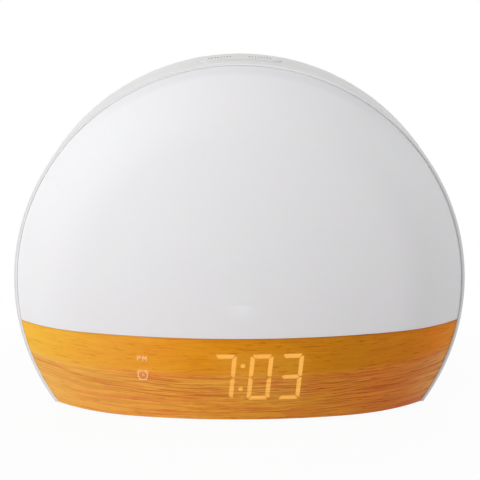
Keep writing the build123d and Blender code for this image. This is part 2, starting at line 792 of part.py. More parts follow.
cell_top_z = cell_z + cell_thickness
with BuildPart() as cell_contacts:
    # A leaf that springs down onto the cell, and a strip that touches its side.
    with BuildSketch(Plane(origin=(cell_x, cell_y, 0), x_dir=(1, 0, 0), z_dir=(0, -1, 0))):
        with BuildLine():
            leaf_reach = cell_radius * 0.7
            upper = ThreePointArc(
                (-leaf_reach, cup_roof_z), (0, cell_top_z + contact_thickness), (leaf_reach, cup_roof_z)
            )
            lower = ThreePointArc(
                (-leaf_reach, cup_roof_z - contact_thickness),
                (0, cell_top_z),
                (leaf_reach, cup_roof_z - contact_thickness),
            )
            Line(upper @ 0, lower @ 0)
            Line(upper @ 1, lower @ 1)
        make_face()
    extrude(amount=contact_width / 2, both=True)
    with BuildSketch(level(cell_z)):
        with Locations((cell_x, cell_y)):
            Circle(cell_radius + contact_thickness)
            Circle(cell_radius, mode=Mode.SUBTRACT)
            with Locations((0, -cell_radius)):
                Rectangle(contact_width, cell_radius, mode=Mode.INTERSECT)
    extrude(amount=cell_thickness + cell_top_gap)
cell_contacts.part.label = "cell_contacts"
export_step(cell_contacts.part, "parts/cell_contacts.step")

cap_bottom_z = underside_z + cap_sunk
cap_top_z = cap_bottom_z + cap_thickness
with BuildPart() as battery_cap:
    with BuildSketch(level(cap_bottom_z)):
        with Locations((cell_x, cell_y)):
            Circle(cap_radius)
    extrude(amount=cap_thickness)
    with BuildSketch(level(cap_top_z)):
        with Locations((cell_x, cell_y)):
            Circle(cap_pad_radius)
    extrude(amount=cap_pad_height)
    with BuildSketch(level(cap_top_z)):
        with Locations((cell_x, cell_y)):
            Rectangle(2 * cap_tab_radius, cap_tab_width)
            Circle(cap_tab_radius, mode=Mode.INTERSECT)
    extrude(amount=cap_tab_thickness)
    with BuildSketch(level(cap_bottom_z)):
        with Locations((cell_x, cell_y)):
            SlotOverall(*cap_slot[:2])
    extrude(amount=cap_slot[2], mode=Mode.SUBTRACT)
battery_cap.part.label = "battery_cap"
export_step(battery_cap.part, "parts/battery_cap.step")

# ---- Screws ----
housing_screws = pan_screws(
    upright(well_front_y + well_floor), well_places, big_screw, well_floor + frame_pilot_depth - end_gap
)
housing_screws.label = "housing_screws"
export_step(housing_screws, "parts/housing_screws.step")

base_screws = sunk_screws(
    base_screw_points, underside_z, mid_screw[0], base_thickness + base_pilot_depth - end_gap
)
base_screws.label = "base_screws"
export_step(base_screws, "parts/base_screws.step")

light_board_face_y = dish_front_y - board_thickness
led_board_screws = pan_screws(
    facing_rear(light_board_face_y),
    [(-x, z) for x, z in light_screw_points],
    small_screw,
    board_thickness + light_pilot_depth - end_gap,
)
led_board_screws.label = "led_board_screws"
export_step(led_board_screws, "parts/led_board_screws.step")

display_screws = pan_screws(
    upright(display_y + board_thickness),
    display_screw_points,
    small_screw,
    board_thickness + display_pilot_depth - end_gap,
)
display_screws.label = "display_screws"
export_step(display_screws, "parts/display_screws.step")

board_top_z = main_board_z + board_thickness
facing_down = Plane(origin=(0, 0, board_top_z), x_dir=(1, 0, 0), z_dir=(0, 0, -1))
main_board_screws = pan_screws(
    facing_down,
    [(x, -y) for x, y in standoff_points],
    mid_screw,
    board_thickness + standoff_pilot_depth - end_gap,
)
main_board_screws.label = "main_board_screws"
export_step(main_board_screws, "parts/main_board_screws.step")

# ---- Light board ----
with BuildPart() as led_board:
    with BuildSketch(upright(dish_front_y)):
        with Locations((0, centre_z)):
            Circle(light_board_radius)
        with Locations((0, light_board_bottom_z)):
            Rectangle(size_beyond, size_beyond, align=(Align.CENTER, Align.MIN), mode=Mode.INTERSECT)
        with Locations(*light_screw_points):
            Circle(small_screw[0] + hole_gap, mode=Mode.SUBTRACT)
    extrude(amount=board_thickness)
led_board.part.label = "led_board"
export_step(led_board.part, "parts/led_board.step")

emitter_edge = light_board_radius - emitter_size[0]
emitter_places = [
    (x, z)
    for row in range(emitter_rows)
    for x, z in [
        ((column - (emitter_columns - 1) / 2) * emitter_pitch[0],
         light_board_bottom_z + emitter_pitch[1] * (row + 0.5))
        for column in range(emitter_columns)
    ]
    if hypot(x, z - centre_z) < emitter_edge
    and all(hypot(x - sx, z - sz) > emitter_screw_room for sx, sz in light_screw_points)
]
with BuildPart() as led_emitters:
    with BuildSketch(upright(light_board_face_y)):
        with Locations(*emitter_places):
            Rectangle(*emitter_size[:2])
    extrude(amount=emitter_size[2])
led_emitters.part.label = "led_emitters"
export_step(led_emitters.part, "parts/led_emitters.step")


# ---- Time display ----
segment_names = ("top", "upper_right", "lower_right", "bottom", "lower_left", "upper_left", "middle")
shown = {
    "7": ("top", "upper_right", "lower_right"),
    "0": ("top", "upper_right", "lower_right", "bottom", "lower_left", "upper_left"),
    "3": ("top", "upper_right", "lower_right", "bottom", "middle"),
    " ": (),
}
digit_x = (
    -1.5 * digit_pitch - colon_room / 2,
    -0.5 * digit_pitch - colon_room / 2,
    0.5 * digit_pitch + colon_room / 2,
    1.5 * digit_pitch + colon_room / 2,
)
digit_text = (" ", "7", "0", "3")


def segment_points(name):
    """Corner points of one segment about its digit's middle: mitred where two meet, cut at outer corners."""
    half_w = (digit_width - digit_stroke) / 2
    half_h = (digit_height - digit_stroke) / 2
    half_s = digit_stroke / 2
    if name == "middle":
        right = [(half_w - segment_gap, 0), (half_w - half_s - segment_gap, half_s)]
        upper = [(-x, z) for x, z in reversed(right)]
        lower = [(-x, -z) for x, z in upper[:1] + right[1:]]
        return right + upper + [lower[1], lower[0]]
    if name in ("top", "bottom"):
        up = 1 if name == "top" else -1
        right = [
            (half_w - half_s - segment_gap, half_h - half_s),
            (half_w - segment_gap, half_h),
            (half_w + half_s - corner_cut, half_h + half_s),
        ]
        points = right + [(-x, z) for x, z in reversed(right)]
        return [(x, up * z) for x, z in points]
    up = 1 if "upper" in name else -1
    side = 1 if "right" in name else -1
    points = [
        (half_w, segment_gap),
        (half_w + half_s, 2 * segment_gap),
        (half_w + half_s, half_h + half_s - corner_cut),
        (half_w, half_h - segment_gap),
        (half_w - half_s, half_h - half_s - segment_gap),
        (half_w - half_s, half_s + segment_gap),
    ]
    return [(side * x, up * z) for x, z in points]


def slanted(x, z):
    """A point of the display, from its middle, leaned over by the digits' slant and put in its place."""
    return (digit_centre[0] + x + z * tan(radians(digit_slant)), digit_centre[1] + z)


def segment_shapes(lit):
    """The outlines of all segments that are lit, or of all that are dark."""
    return [
        [slanted(middle + x, z) for x, z in segment_points(name)]
        for middle, text in zip(digit_x, digit_text)
        for name in segment_names
        if (name in shown[text]) == lit
    ]


colon_points = [slanted(0, side * colon_spacing / 2) for side in (1, -1)]
cell_front_inset = window_wall + window_gap


def cells(lit, with_colon):
    """Resin cells of the display, from its board to just behind the fascia's window."""
    with BuildPart() as blocks:
        with BuildSketch(upright(display_y)):
            for shape in segment_shapes(lit):
                with BuildLine():
                    Polyline(*shape, close=True)
                make_face()
            if with_colon:
                with Locations(*colon_points):
                    Circle(colon_dot_radius)
        extrude(amount=front_bulge)
        revolve(front_section(cell_front_inset, seat_y), axis=depth_axis, mode=Mode.INTERSECT)
    return blocks.part


lit_segments = cells(True, True)
lit_segments.label = "lit_segments"
export_step(lit_segments, "parts/lit_segments.step")
unlit_segments = cells(False, False)
unlit_segments.label = "unlit_segments"
export_step(unlit_segments, "parts/unlit_segments.step")

with BuildPart() as display_light_box:
    with BuildSketch(upright(display_y)):
        with Locations(digit_centre):
            Rectangle(*display_box_size)
    extrude(amount=front_bulge)
    revolve(front_section(cell_front_inset, seat_y), axis=depth_axis, mode=Mode.INTERSECT)
    with BuildSketch(upright(display_y)) as openings:
        for shape in segment_shapes(True) + segment_shapes(False):
            with BuildLine():
                Polyline(*shape, close=True)
            make_face()
        with Locations(*colon_points):
            Circle(colon_dot_radius)
        offset(amount=cell_gap, kind=Kind.INTERSECTION)
    extrude(amount=front_bulge, mode=Mode.SUBTRACT)
display_light_box.part.label = "display_light_box"
export_step(display_light_box.part, "parts/display_light_box.step")

with BuildPart() as indicator_light_guide:
    with BuildSketch(upright(display_y)):
        with Locations(indicator_centre):
            Rectangle(*indicator_size)
    extrude(amount=front_bulge)
    revolve(front_section(cell_front_inset, seat_y), axis=depth_axis, mode=Mode.INTERSECT)
    with BuildSketch(upright(display_y)):
        with Locations(indicator_centre):
            with GridLocations(0, indicator_size[1] / 2, 1, 2):
                Rectangle(
                    indicator_size[0] - 2 * indicator_wall,
                    indicator_size[1] / 2 - 1.5 * indicator_wall,
                )
    extrude(amount=emitter_size[2] * 2, mode=Mode.SUBTRACT)
indicator_light_guide.part.label = "indicator_light_guide"
export_step(indicator_light_guide.part, "parts/indicator_light_guide.step")

with BuildPart() as display_board:
    with BuildSketch(upright(display_y)):
        with Locations(display_board_centre):
            Rectangle(*display_board_size)
        with Locations(*display_screw_points):
            Circle(small_screw[0] + hole_gap, mode=Mode.SUBTRACT)
    extrude(amount=-board_thickness)
display_board.part.label = "display_board"
export_step(display_board.part, "parts/display_board.step")

# ---- Main board and power inlet ----
connector_y = rim_y + connector_behind_rim

with BuildPart() as main_board:
    with BuildSketch(level(main_board_z)):
        with Locations(main_board_centre):
            RectangleRounded(*main_board_size, board_corner)
        with Locations(*standoff_points):
            Circle(mid_screw[0] + hole_gap, mode=Mode.SUBTRACT)
    extrude(amount=board_thickness)
main_board.part.label = "main_board"
export_step(main_board.part, "parts/main_board.step")

with BuildPart() as board_chips:
    for (x, behind), (width, depth, height) in chips:
        with BuildSketch(level(board_top_z)):
            with Locations((x, rim_y + behind)):
                Rectangle(width, depth)
        extrude(amount=height)
board_chips.part.label = "board_chips"
export_step(board_chips.part, "parts/board_chips.step")

with BuildPart() as board_connectors:
    with BuildSketch(level(board_top_z)):
        with Locations(*[(x, connector_y) for x in connector_x]):
            Rectangle(*connector_size[:2])
    extrude(amount=connector_size[2])
    with BuildSketch(level(board_top_z + connector_size[2])):
        with Locations(*[(x, connector_y) for x in connector_x]):
            Rectangle(connector_size[0] - 2 * connector_wall, connector_size[1] - 2 * connector_wall)
    extrude(amount=-connector_depth, mode=Mode.SUBTRACT)
board_connectors.part.label = "board_connectors"
export_step(board_connectors.part, "parts/board_connectors.step")

with BuildPart() as board_capacitors:
    with BuildSketch(level(board_top_z)):
        with Locations(*[(x, rim_y + behind) for x, behind in capacitors]):
            Circle(capacitor_radius)
    extrude(amount=capacitor_height)
    fillet(board_capacitors.edges().filter_by(GeomType.CIRCLE).group_by(Axis.Z)[-1], capacitor_radius / 5)
board_capacitors.part.label = "board_capacitors"
export_step(board_capacitors.part, "parts/board_capacitors.step")

usb_mouth_y = inner_rear_y + usb_mouth_in_wall
with BuildPart() as usb_socket:
    with BuildSketch(upright(usb_mouth_y)):
        with Locations((0, usb_z)):
            SlotOverall(*usb_size)
    extrude(amount=usb_depth)
    with BuildSketch(upright(usb_mouth_y)):
        with Locations((0, usb_z)):
            SlotOverall(usb_size[0] - 2 * usb_shell, usb_size[1] - 2 * usb_shell)
    extrude(amount=usb_bay, mode=Mode.SUBTRACT)
    with BuildSketch(upright(usb_mouth_y - usb_bay)):
        with Locations((0, usb_z)):
            Rectangle(*usb_tongue[:2])
    extrude(amount=-usb_tongue[2])
usb_socket.part.label = "usb_socket"
export_step(usb_socket.part, "parts/usb_socket.step")


# ---- Keys: each has a cap in its opening, a flange behind the wall and a post on its switch's plunger ----
def switch_blocks(plane, points):
    """Square switch bodies with a round well each, facing along the plane's normal."""
    with BuildPart() as blocks:
        with BuildSketch(plane):
            with Locations(*points):
                Rectangle(switch_size, switch_size)
        extrude(amount=-switch_height)
        with BuildSketch(plane):
            with Locations(*points):
                Circle(plunger_radius + plunger_gap)
        extrude(amount=-(plunger_length - plunger_proud + key_travel + plunger_spare), mode=Mode.SUBTRACT)
    return blocks.part


rear_switches = switch_blocks(facing_rear(switch_face_y), [(-x, z) for x, z in key_places])
rear_switches.label = "rear_switches"
export_step(rear_switches, "parts/rear_switches.step")

for key_name, place in zip(key_names, key_places):
    with BuildPart() as rear_key:
        with BuildSketch(upright(key_panel_y + key_proud)):
            with Locations(place):
                SlotOverall(*key_size)
        extrude(amount=key_panel_y + key_proud - key_flange_y)
        fillet(rear_key.faces().sort_by(Axis.Y)[-1].edges(), key_round)
        with BuildSketch(upright(key_flange_y)):
            with Locations(place):
                SlotOverall(key_size[0] + 2 * key_flange, key_size[1] + 2 * key_flange)
        extrude(amount=key_flange_thickness)
        with BuildSketch(upright(key_flange_y)):
            with Locations(place):
                Circle(key_post_radius)
        extrude(amount=key_flange_y - key_post_y)
    rear_key.part.label = f"rear_key_{key_name}"
    export_step(rear_key.part, f"parts/rear_key_{key_name}.step")
    with BuildPart() as plunger:
        with BuildSketch(upright(key_post_y)):
            with Locations(place):
                Circle(plunger_radius)
        extrude(amount=plunger_length)
    plunger.part.label = f"plunger_{key_name}"
    export_step(plunger.part, f"parts/plunger_{key_name}.step")

with BuildPart() as key_board:
    with BuildSketch(upright(key_board_y)):
        with Locations((0, key_panel_z)):
            Rectangle(*key_board_size)
        with Locations(*key_boss_points):
            Circle(mid_screw[0] + hole_gap, mode=Mode.SUBTRACT)
    extrude(amount=board_thickness)
key_board.part.label = "key_board"
export_step(key_board.part, "parts/key_board.step")

key_board_screws = pan_screws(
    facing_rear(key_board_y - board_thickness),
    [(-x, z) for x, z in key_boss_points],
    mid_screw,
    board_thickness + key_wall_y - key_board_y - end_gap,
)
key_board_screws.label = "key_board_screws"
export_step(key_board_screws, "parts/key_board_screws.step")

# ---- Top key ----
top_post_points = [(side * top_post_spread, top_key_y) for side in (-1, 1)]
grip_middles = [(side * grip_offset, top_key_y) for side in (-1, 1)]


def round_bar(radius, mode):
    """A bar along the clock's depth about the outline's axis, to shape pieces to the band."""
    with BuildSketch(upright(rear_y)) as disc:
        with Locations((0, centre_z)):
            Circle(radius)
    extrude(disc.sketch, amount=total_depth, mode=mode)


with BuildPart() as grip_ticks:
    # Two groups of short slots across the key, as deep as the key's skin allows.
    with BuildSketch(level(top_flange_z)):
        with Locations(*grip_middles):
            with GridLocations(grip_pitch, 0, grip_slots, 1):
                SlotOverall(grip_slot_size[1], grip_slot_size[0], rotation=90)
    extrude(amount=outline_radius)
    round_bar(outline_radius + top_key_proud - grip_depth, Mode.SUBTRACT)

with BuildPart() as key_cap:
    with BuildSketch(level(top_flange_z)):
        with Locations((0, top_key_y)):
            RectangleRounded(*top_key_size, top_key_round)
    extrude(amount=outline_radius)
    round_bar(outline_radius + top_key_proud, Mode.INTERSECT)
    fillet(key_cap.faces().sort_by(Axis.Z)[-1].edges(), key_round)
    add(grip_ticks.part, mode=Mode.SUBTRACT)

with BuildPart() as top_key:
    with BuildSketch(level(top_flange_z)):
        with Locations((0, top_key_y)):
            RectangleRounded(
                top_key_size[0] + 2 * top_flange,
                top_key_size[1] + 2 * top_flange,
                top_key_round + top_flange,
            )
    extrude(amount=outline_radius)
    round_bar(inner_radius - key_seat_gap, Mode.INTERSECT)
    add(key_cap.part)
    with BuildSketch(level(top_flange_z)):
        with Locations((0, top_key_y)):
            RectangleRounded(
                top_key_size[0] - 2 * top_key_wall,
                top_key_size[1] - 2 * top_key_wall,
                top_key_round - top_key_wall,
            )
        with Locations(*top_post_points):
            Circle(key_post_radius, mode=Mode.SUBTRACT)
    extrude(amount=top_hollow, mode=Mode.SUBTRACT)
    with BuildSketch(level(top_flange_z)):
        with Locations(*top_post_points):
            Circle(key_post_radius)
    extrude(amount=-key_post_length)
top_key.part.label = "top_key"
export_step(top_key.part, "parts/top_key.step")

with BuildPart() as top_plungers:
    with BuildSketch(level(top_post_z)):
        with Locations(*top_post_points):
            Circle(plunger_radius)
    extrude(amount=-plunger_length)
top_plungers.part.label = "top_plungers"
export_step(top_plungers.part, "parts/top_plungers.step")

top_switches = switch_blocks(level(top_switch_z), top_post_points)
top_switches.label = "top_switches"
export_step(top_switches, "parts/top_switches.step")

with BuildPart() as top_key_board:
    with BuildSketch(level(top_board_z)):
        with Locations((0, top_board_y)):
            RectangleRounded(*top_board_size, board_corner)
        with Locations(*top_boss_points):
            Circle(small_screw[0] + hole_gap, mode=Mode.SUBTRACT)
    extrude(amount=-board_thickness)
top_key_board.part.label = "top_key_board"
export_step(top_key_board.part, "parts/top_key_board.step")

top_board_screws = pan_screws(
    level(top_board_z - board_thickness),
    top_boss_points,
    small_screw,
    board_thickness + top_pilot_depth - end_gap,
)
top_board_screws.label = "top_board_screws"
export_step(top_board_screws, "parts/top_board_screws.step")


# ---- Speaker, turned about its own axis; profiles give the distance from that axis, then the depth ----
def turned(*points):
    """A body of revolution about the speaker's axis from its half section's corner points."""
    with BuildSketch(speaker_plane) as section:
        with BuildLine():
            Polyline(*points, close=True)
        make_face()
    revolve(section.sketch, axis=speaker_axis)


speaker_face_y = inner_rear_y - gasket_thickness        # rear face of the speaker's flange
basket_floor_y = speaker_flange_y - basket_depth
basket_top_radius = speaker_hole_radius + basket_wall

with BuildPart() as speaker_gasket:
    with BuildSketch(upright(inner_rear_y)):
        with Locations((0, speaker_z)):
            Circle(speaker_radius - float_gap)
            Circle(gasket_inner_radius, mode=Mode.SUBTRACT)
        with Locations(*ear_points):
            Circle(speaker_boss_radius + float_gap, mode=Mode.SUBTRACT)
    extrude(amount=gasket_thickness)
speaker_gasket.part.label = "speaker_gasket"
export_step(speaker_gasket.part, "parts/speaker_gasket.step")

with BuildPart() as speaker_frame:
    turned(
        (speaker_hole_radius, speaker_face_y),
        (speaker_radius, speaker_face_y),
        (speaker_radius, speaker_flange_y),
        (basket_top_radius, speaker_flange_y),
        (basket_floor_radius, basket_floor_y),
        (basket_floor_radius, basket_floor_y - basket_wall),
        (coil_radius + float_gap, basket_floor_y - basket_wall),
        (coil_radius + float_gap, basket_floor_y),
        (basket_floor_radius - basket_wall, basket_floor_y),
        (speaker_hole_radius, speaker_flange_y),
    )
    with BuildSketch(upright(speaker_face_y)):
        with Locations(*ear_points):
            Circle(ear_radius)
        with Locations((0, speaker_z)):
            Circle(speaker_radius - float_gap, mode=Mode.SUBTRACT)
    extrude(amount=speaker_flange)
    with BuildSketch(upright(speaker_face_y)):
        with Locations(*ear_points):
            Circle(small_screw[0] + hole_gap)
    extrude(amount=speaker_flange, mode=Mode.SUBTRACT)
    with BuildSketch(upright(speaker_flange_y)):
        with Locations((0, speaker_z)):
            with PolarLocations((basket_floor_radius + basket_top_radius) / 2, basket_windows):
                Rectangle(basket_top_radius - basket_floor_radius, basket_window_width)
    extrude(amount=basket_depth - basket_wall, mode=Mode.SUBTRACT)
speaker_frame.part.label = "speaker_frame"
export_step(speaker_frame.part, "parts/speaker_frame.step")

magnet_front_y = basket_floor_y - basket_wall
with BuildPart() as speaker_magnet:
    turned(
        (0, basket_floor_y),
        (pole_radius, basket_floor_y),
        (pole_radius, magnet_front_y),
        (magnet_radius, magnet_front_y),
        (magnet_radius, magnet_front_y - magnet_height),
        (back_plate_radius, magnet_front_y - magnet_height),
        (back_plate_radius, magnet_front_y - magnet_height - back_plate_thickness),
        (0, magnet_front_y - magnet_height - back_plate_thickness),
    )
speaker_magnet.part.label = "speaker_magnet"
export_step(speaker_magnet.part, "parts/speaker_magnet.step")

cone_rim_y = speaker_face_y
cone_neck_y = cone_rim_y - cone_depth
with BuildPart() as speaker_cone:
    turned(
        (cone_radius, cone_rim_y),
        (cone_radius, cone_rim_y - cone_thickness),
        (coil_radius, cone_neck_y - cone_thickness),
        (coil_radius, basket_floor_y + float_gap),
        (coil_radius - coil_wall, basket_floor_y + float_gap),
        (coil_radius - coil_wall, cone_neck_y),
        (coil_radius, cone_neck_y),
    )
    with BuildSketch(speaker_plane) as dust_cap:
        with BuildLine():
            outer = ThreePointArc(
                (-coil_radius, cone_neck_y), (0, cone_neck_y + dust_cap_rise), (coil_radius, cone_neck_y)
            )
            inner = ThreePointArc(
                (-coil_radius, cone_neck_y - cone_thickness),
                (0, cone_neck_y + dust_cap_rise - cone_thickness),
                (coil_radius, cone_neck_y - cone_thickness),
            )
            Line(outer @ 0, inner @ 0)
            Line(outer @ 1, inner @ 1)
        make_face()
        with Locations((0, cone_neck_y)):
            Rectangle(coil_radius, 2 * cone_depth, align=(Align.MIN, Align.CENTER), mode=Mode.INTERSECT)
    revolve(axis=speaker_axis)
speaker_cone.part.label = "speaker_cone"
export_step(speaker_cone.part, "parts/speaker_cone.step")

roll_radius = (speaker_hole_radius - cone_radius) / 2
with BuildPart() as speaker_surround:
    with BuildSketch(speaker_plane):
        with Locations((cone_radius + roll_radius, cone_rim_y)):
            Circle(roll_radius)
            Circle(roll_radius - roll_thickness, mode=Mode.SUBTRACT)
            Rectangle(2 * roll_radius, 2 * roll_radius, align=(Align.CENTER, Align.MIN), mode=Mode.INTERSECT)
        with Locations((cone_radius, cone_rim_y)):
            Rectangle(roll_thickness, cone_thickness, align=(Align.MIN, Align.MAX))
        with Locations((roll_foot_radius, cone_rim_y)):
            foot_width = roll_foot_radius - speaker_hole_radius + roll_thickness
            Rectangle(foot_width, roll_thickness, align=(Align.MAX, Align.MIN))
    revolve(axis=speaker_axis)
speaker_surround.part.label = "speaker_surround"
export_step(speaker_surround.part, "parts/speaker_surround.step")

speaker_screws = pan_screws(
    facing_rear(speaker_flange_y),
    [(-x, z) for x, z in ear_points],
    small_screw,
    speaker_flange + speaker_pilot_depth - end_gap,
)
speaker_screws.label = "speaker_screws"
export_step(speaker_screws, "parts/speaker_screws.step")

# ---- Leads, each from its board down into its connector ----
plug_z = board_top_z + connector_size[2] - connector_depth     # floor of the connectors' wells
turn_z = board_top_z + connector_size[2] + lead_drop


def swept(points, arcs, width=0.0, thickness=0.0):
    """A round wire, or a flat ribbon of the given size, along straight runs joined by arcs."""
    with BuildPart() as lead:
        with BuildLine() as route:
            FilletPolyline(*points, radius=arcs)
        with BuildSketch(Plane(origin=route.line @ 0, x_dir=(1, 0, 0), z_dir=route.line % 0)):
            if width:
                Rectangle(width, thickness)
            else:
                Circle(wire_radius)
        sweep()
    return lead.part


def wire_pair(points, arcs):
    """Two wires side by side along the same runs."""
    wires = [
        swept([(x + side * wire_pitch / 2, y, z) for x, y, z in points], arcs)
        for side in (-1, 1)
    ]
    with BuildPart() as pair:
        add(wires)
    return pair.part


display_ribbon = swept(
    [
        (connector_x[0], display_y + board_thickness, ribbon_slot_rise),
        (connector_x[0], connector_y, ribbon_slot_rise),
        (connector_x[0], connector_y, plug_z),
    ],
    [lead_arc],
    *ribbon_size,
)
display_ribbon.label = "display_ribbon"
export_step(display_ribbon, "parts/display_ribbon.step")

key_lead_z = key_panel_z - key_board_size[1] / 2 + key_lead_rise
key_board_front_y = key_board_y - board_thickness
key_ribbon = swept(
    [
        (connector_x[1], key_board_front_y, key_lead_z),
        (connector_x[1], connector_y, key_lead_z),
        (connector_x[1], connector_y, plug_z),
    ],
    [lead_wide_arc],
    *ribbon_size,
)
key_ribbon.label = "key_ribbon"
export_step(key_ribbon, "parts/key_ribbon.step")

light_hole_z = light_board_bottom_z + 2 * light_lead_hole_radius
light_leads = wire_pair(
    [
        (0, dish_front_y, light_hole_z),
        (0, connector_y, light_hole_z),
        (connector_x[2], connector_y, turn_z),
        (connector_x[2], connector_y, plug_z),
    ],
    [lead_arc, lead_arc],
)
light_leads.label = "light_leads"
export_step(light_leads, "parts/light_leads.step")

terminal_z = speaker_z - (speaker_radius + basket_top_radius) / 2
speaker_lead_y = key_board_front_y - lead_slack / 2
speaker_leads = wire_pair(
    [
        (connector_x[3], speaker_flange_y, terminal_z),
        (connector_x[3], speaker_lead_y, terminal_z),
        (connector_x[3], speaker_lead_y, turn_z),
        (connector_x[3], connector_y, turn_z),
        (connector_x[3], connector_y, plug_z),
    ],
    [lead_wide_arc, lead_arc, lead_arc],
)
speaker_leads.label = "speaker_leads"
export_step(speaker_leads, "parts/speaker_leads.step")

top_board_under_z = top_board_z - board_thickness
top_lead_y = dish_back_y + wire_radius + top_lead_behind
top_key_leads = wire_pair(
    [
        (top_lead_x, top_board_y, top_board_under_z),
        (top_lead_x, top_board_y, top_board_under_z - lead_drop),
        (top_lead_x, top_lead_y, centre_z + dish_floor_radius + top_lead_bend_rise),
        (top_lead_x, top_lead_y, turn_z + lead_drop),
        (connector_x[4], connector_y, turn_z),
        (connector_x[4], connector_y, plug_z),
    ],
    [lead_arc, lead_arc, lead_arc, lead_arc],
)
top_key_leads.label = "top_key_leads"
export_step(top_key_leads, "parts/top_key_leads.step")
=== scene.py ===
import bpy
import bmesh
import json
from math import cos, pi, radians, sin, sqrt, tan
from mathutils import Matrix, Vector


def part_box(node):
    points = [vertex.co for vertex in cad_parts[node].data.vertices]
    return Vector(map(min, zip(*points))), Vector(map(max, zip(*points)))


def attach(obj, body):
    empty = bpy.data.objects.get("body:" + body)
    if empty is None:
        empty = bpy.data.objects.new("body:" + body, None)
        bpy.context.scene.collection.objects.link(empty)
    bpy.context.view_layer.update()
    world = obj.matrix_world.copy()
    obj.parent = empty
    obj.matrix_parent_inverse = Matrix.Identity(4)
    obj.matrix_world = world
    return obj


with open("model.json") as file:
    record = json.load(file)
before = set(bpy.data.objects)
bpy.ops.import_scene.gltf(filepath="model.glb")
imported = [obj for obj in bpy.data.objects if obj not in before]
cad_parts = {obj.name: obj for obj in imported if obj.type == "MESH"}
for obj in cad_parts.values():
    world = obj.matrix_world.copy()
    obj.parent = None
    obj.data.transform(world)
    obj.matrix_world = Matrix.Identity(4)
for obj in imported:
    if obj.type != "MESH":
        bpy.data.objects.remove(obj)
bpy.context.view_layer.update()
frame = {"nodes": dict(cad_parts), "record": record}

# Everything is in metres. The clock stands on the floor at z = 0 and faces -Y.

# ---- The clock's front surface ----
axis_height = 0.0533          # of the round outline's axis
rim_y = -0.0175
front_bulge = 0.025
crown_radius = 0.245
crown_reach = 0.067
cover_radius = 0.0936         # of the front covers at the rim
key_top_radius = 0.0955       # of the top key's round outside
key_middle_y = -0.004


def front_depth(x, z):
    """The y of the domed front's outside at that place: a wide crown arc, then a tighter shoulder arc."""
    reach = min(sqrt(x**2 + (z - axis_height) ** 2), cover_radius)
    crown_middle = rim_y - front_bulge + crown_radius
    if reach <= crown_reach:
        return crown_middle - sqrt(crown_radius**2 - reach**2)
    join = Vector((crown_reach, crown_middle - sqrt(crown_radius**2 - crown_reach**2)))
    inward = (Vector((0, crown_middle)) - join).normalized()
    chord = join - Vector((cover_radius, rim_y))
    shoulder_radius = -chord.length_squared / (2 * inward.dot(chord))
    middle = join + inward * shoulder_radius
    return middle.y - sqrt(shoulder_radius**2 - (reach - middle.x) ** 2)


# ---- Camera ----
camera_place = Vector((-0.00391, -0.54146, 0.22047))
camera_target = Vector((0.00011, -0.0175, 0.07398))
camera_roll = radians(0.061)
camera_width = 36             # of the sensor, in millimetres
camera_lens = 97.744          # in millimetres
camera_far_end = 20

camera = bpy.data.objects.new("camera", bpy.data.cameras.new("camera"))
camera.data.sensor_width = camera_width
camera.data.lens = camera_lens
camera.data.clip_end = camera_far_end
aim = (camera_target - camera_place).to_track_quat("-Z", "Y").to_matrix()
turned = aim @ Matrix.Rotation(camera_roll, 3, "Z")
camera.matrix_world = Matrix.Translation(camera_place) @ turned.to_4x4()
bpy.context.scene.collection.objects.link(camera)
bpy.context.scene.camera = camera
bpy.context.scene.view_settings.view_transform = "Standard"


# ---- Nodes and finishes ----
usual = (0.3, 0.7)            # the range that most of a noise's values lie in


def shade(red, green, blue):
    """A colour as a screen shows it, from 0 to 255, as the linear values that a shader takes."""
    shares = [c / 255 for c in (red, green, blue)]
    return tuple((c / 12.92) if c < 10 / 255 else ((c + 0.055) / 1.055) ** 2.4 for c in shares)


def rgba(colour):
    return (*colour, 1)


class Nodes:
    """A node tree being put together by short calls, each of which adds a node and joins it."""

    def __init__(self, tree):
        self.tree = tree

    def fill(self, node, values):
        """Sets a node's inputs to values, or joins them to other nodes' outputs."""
        for name, value in values.items():
            if isinstance(value, bpy.types.NodeSocket):
                self.tree.links.new(value, node.inputs[name])
            else:
                node.inputs[name].default_value = value

    def add(self, kind, values=None, **settings):
        node = self.tree.nodes.new(kind)
        for name, value in settings.items():
            setattr(node, name, value)
        self.fill(node, values or {})
        return node

    def calc(self, operation, *values):
        """A Math node's result."""
        return self.add("ShaderNodeMath", dict(enumerate(values)), operation=operation).outputs[0]

    def product(self, first, *others):
        """Values multiplied one after another."""
        for other in others:
            first = self.calc("MULTIPLY", first, other)
        return first

    def band(self, value, low, high, to_low=0.0, to_high=1.0):
        """The value eased from one range to another and held at its ends."""
        values = {0: value, 1: low, 2: high, 3: to_low, 4: to_high}
        return self.add("ShaderNodeMapRange", values, interpolation_type="SMOOTHSTEP").outputs[0]


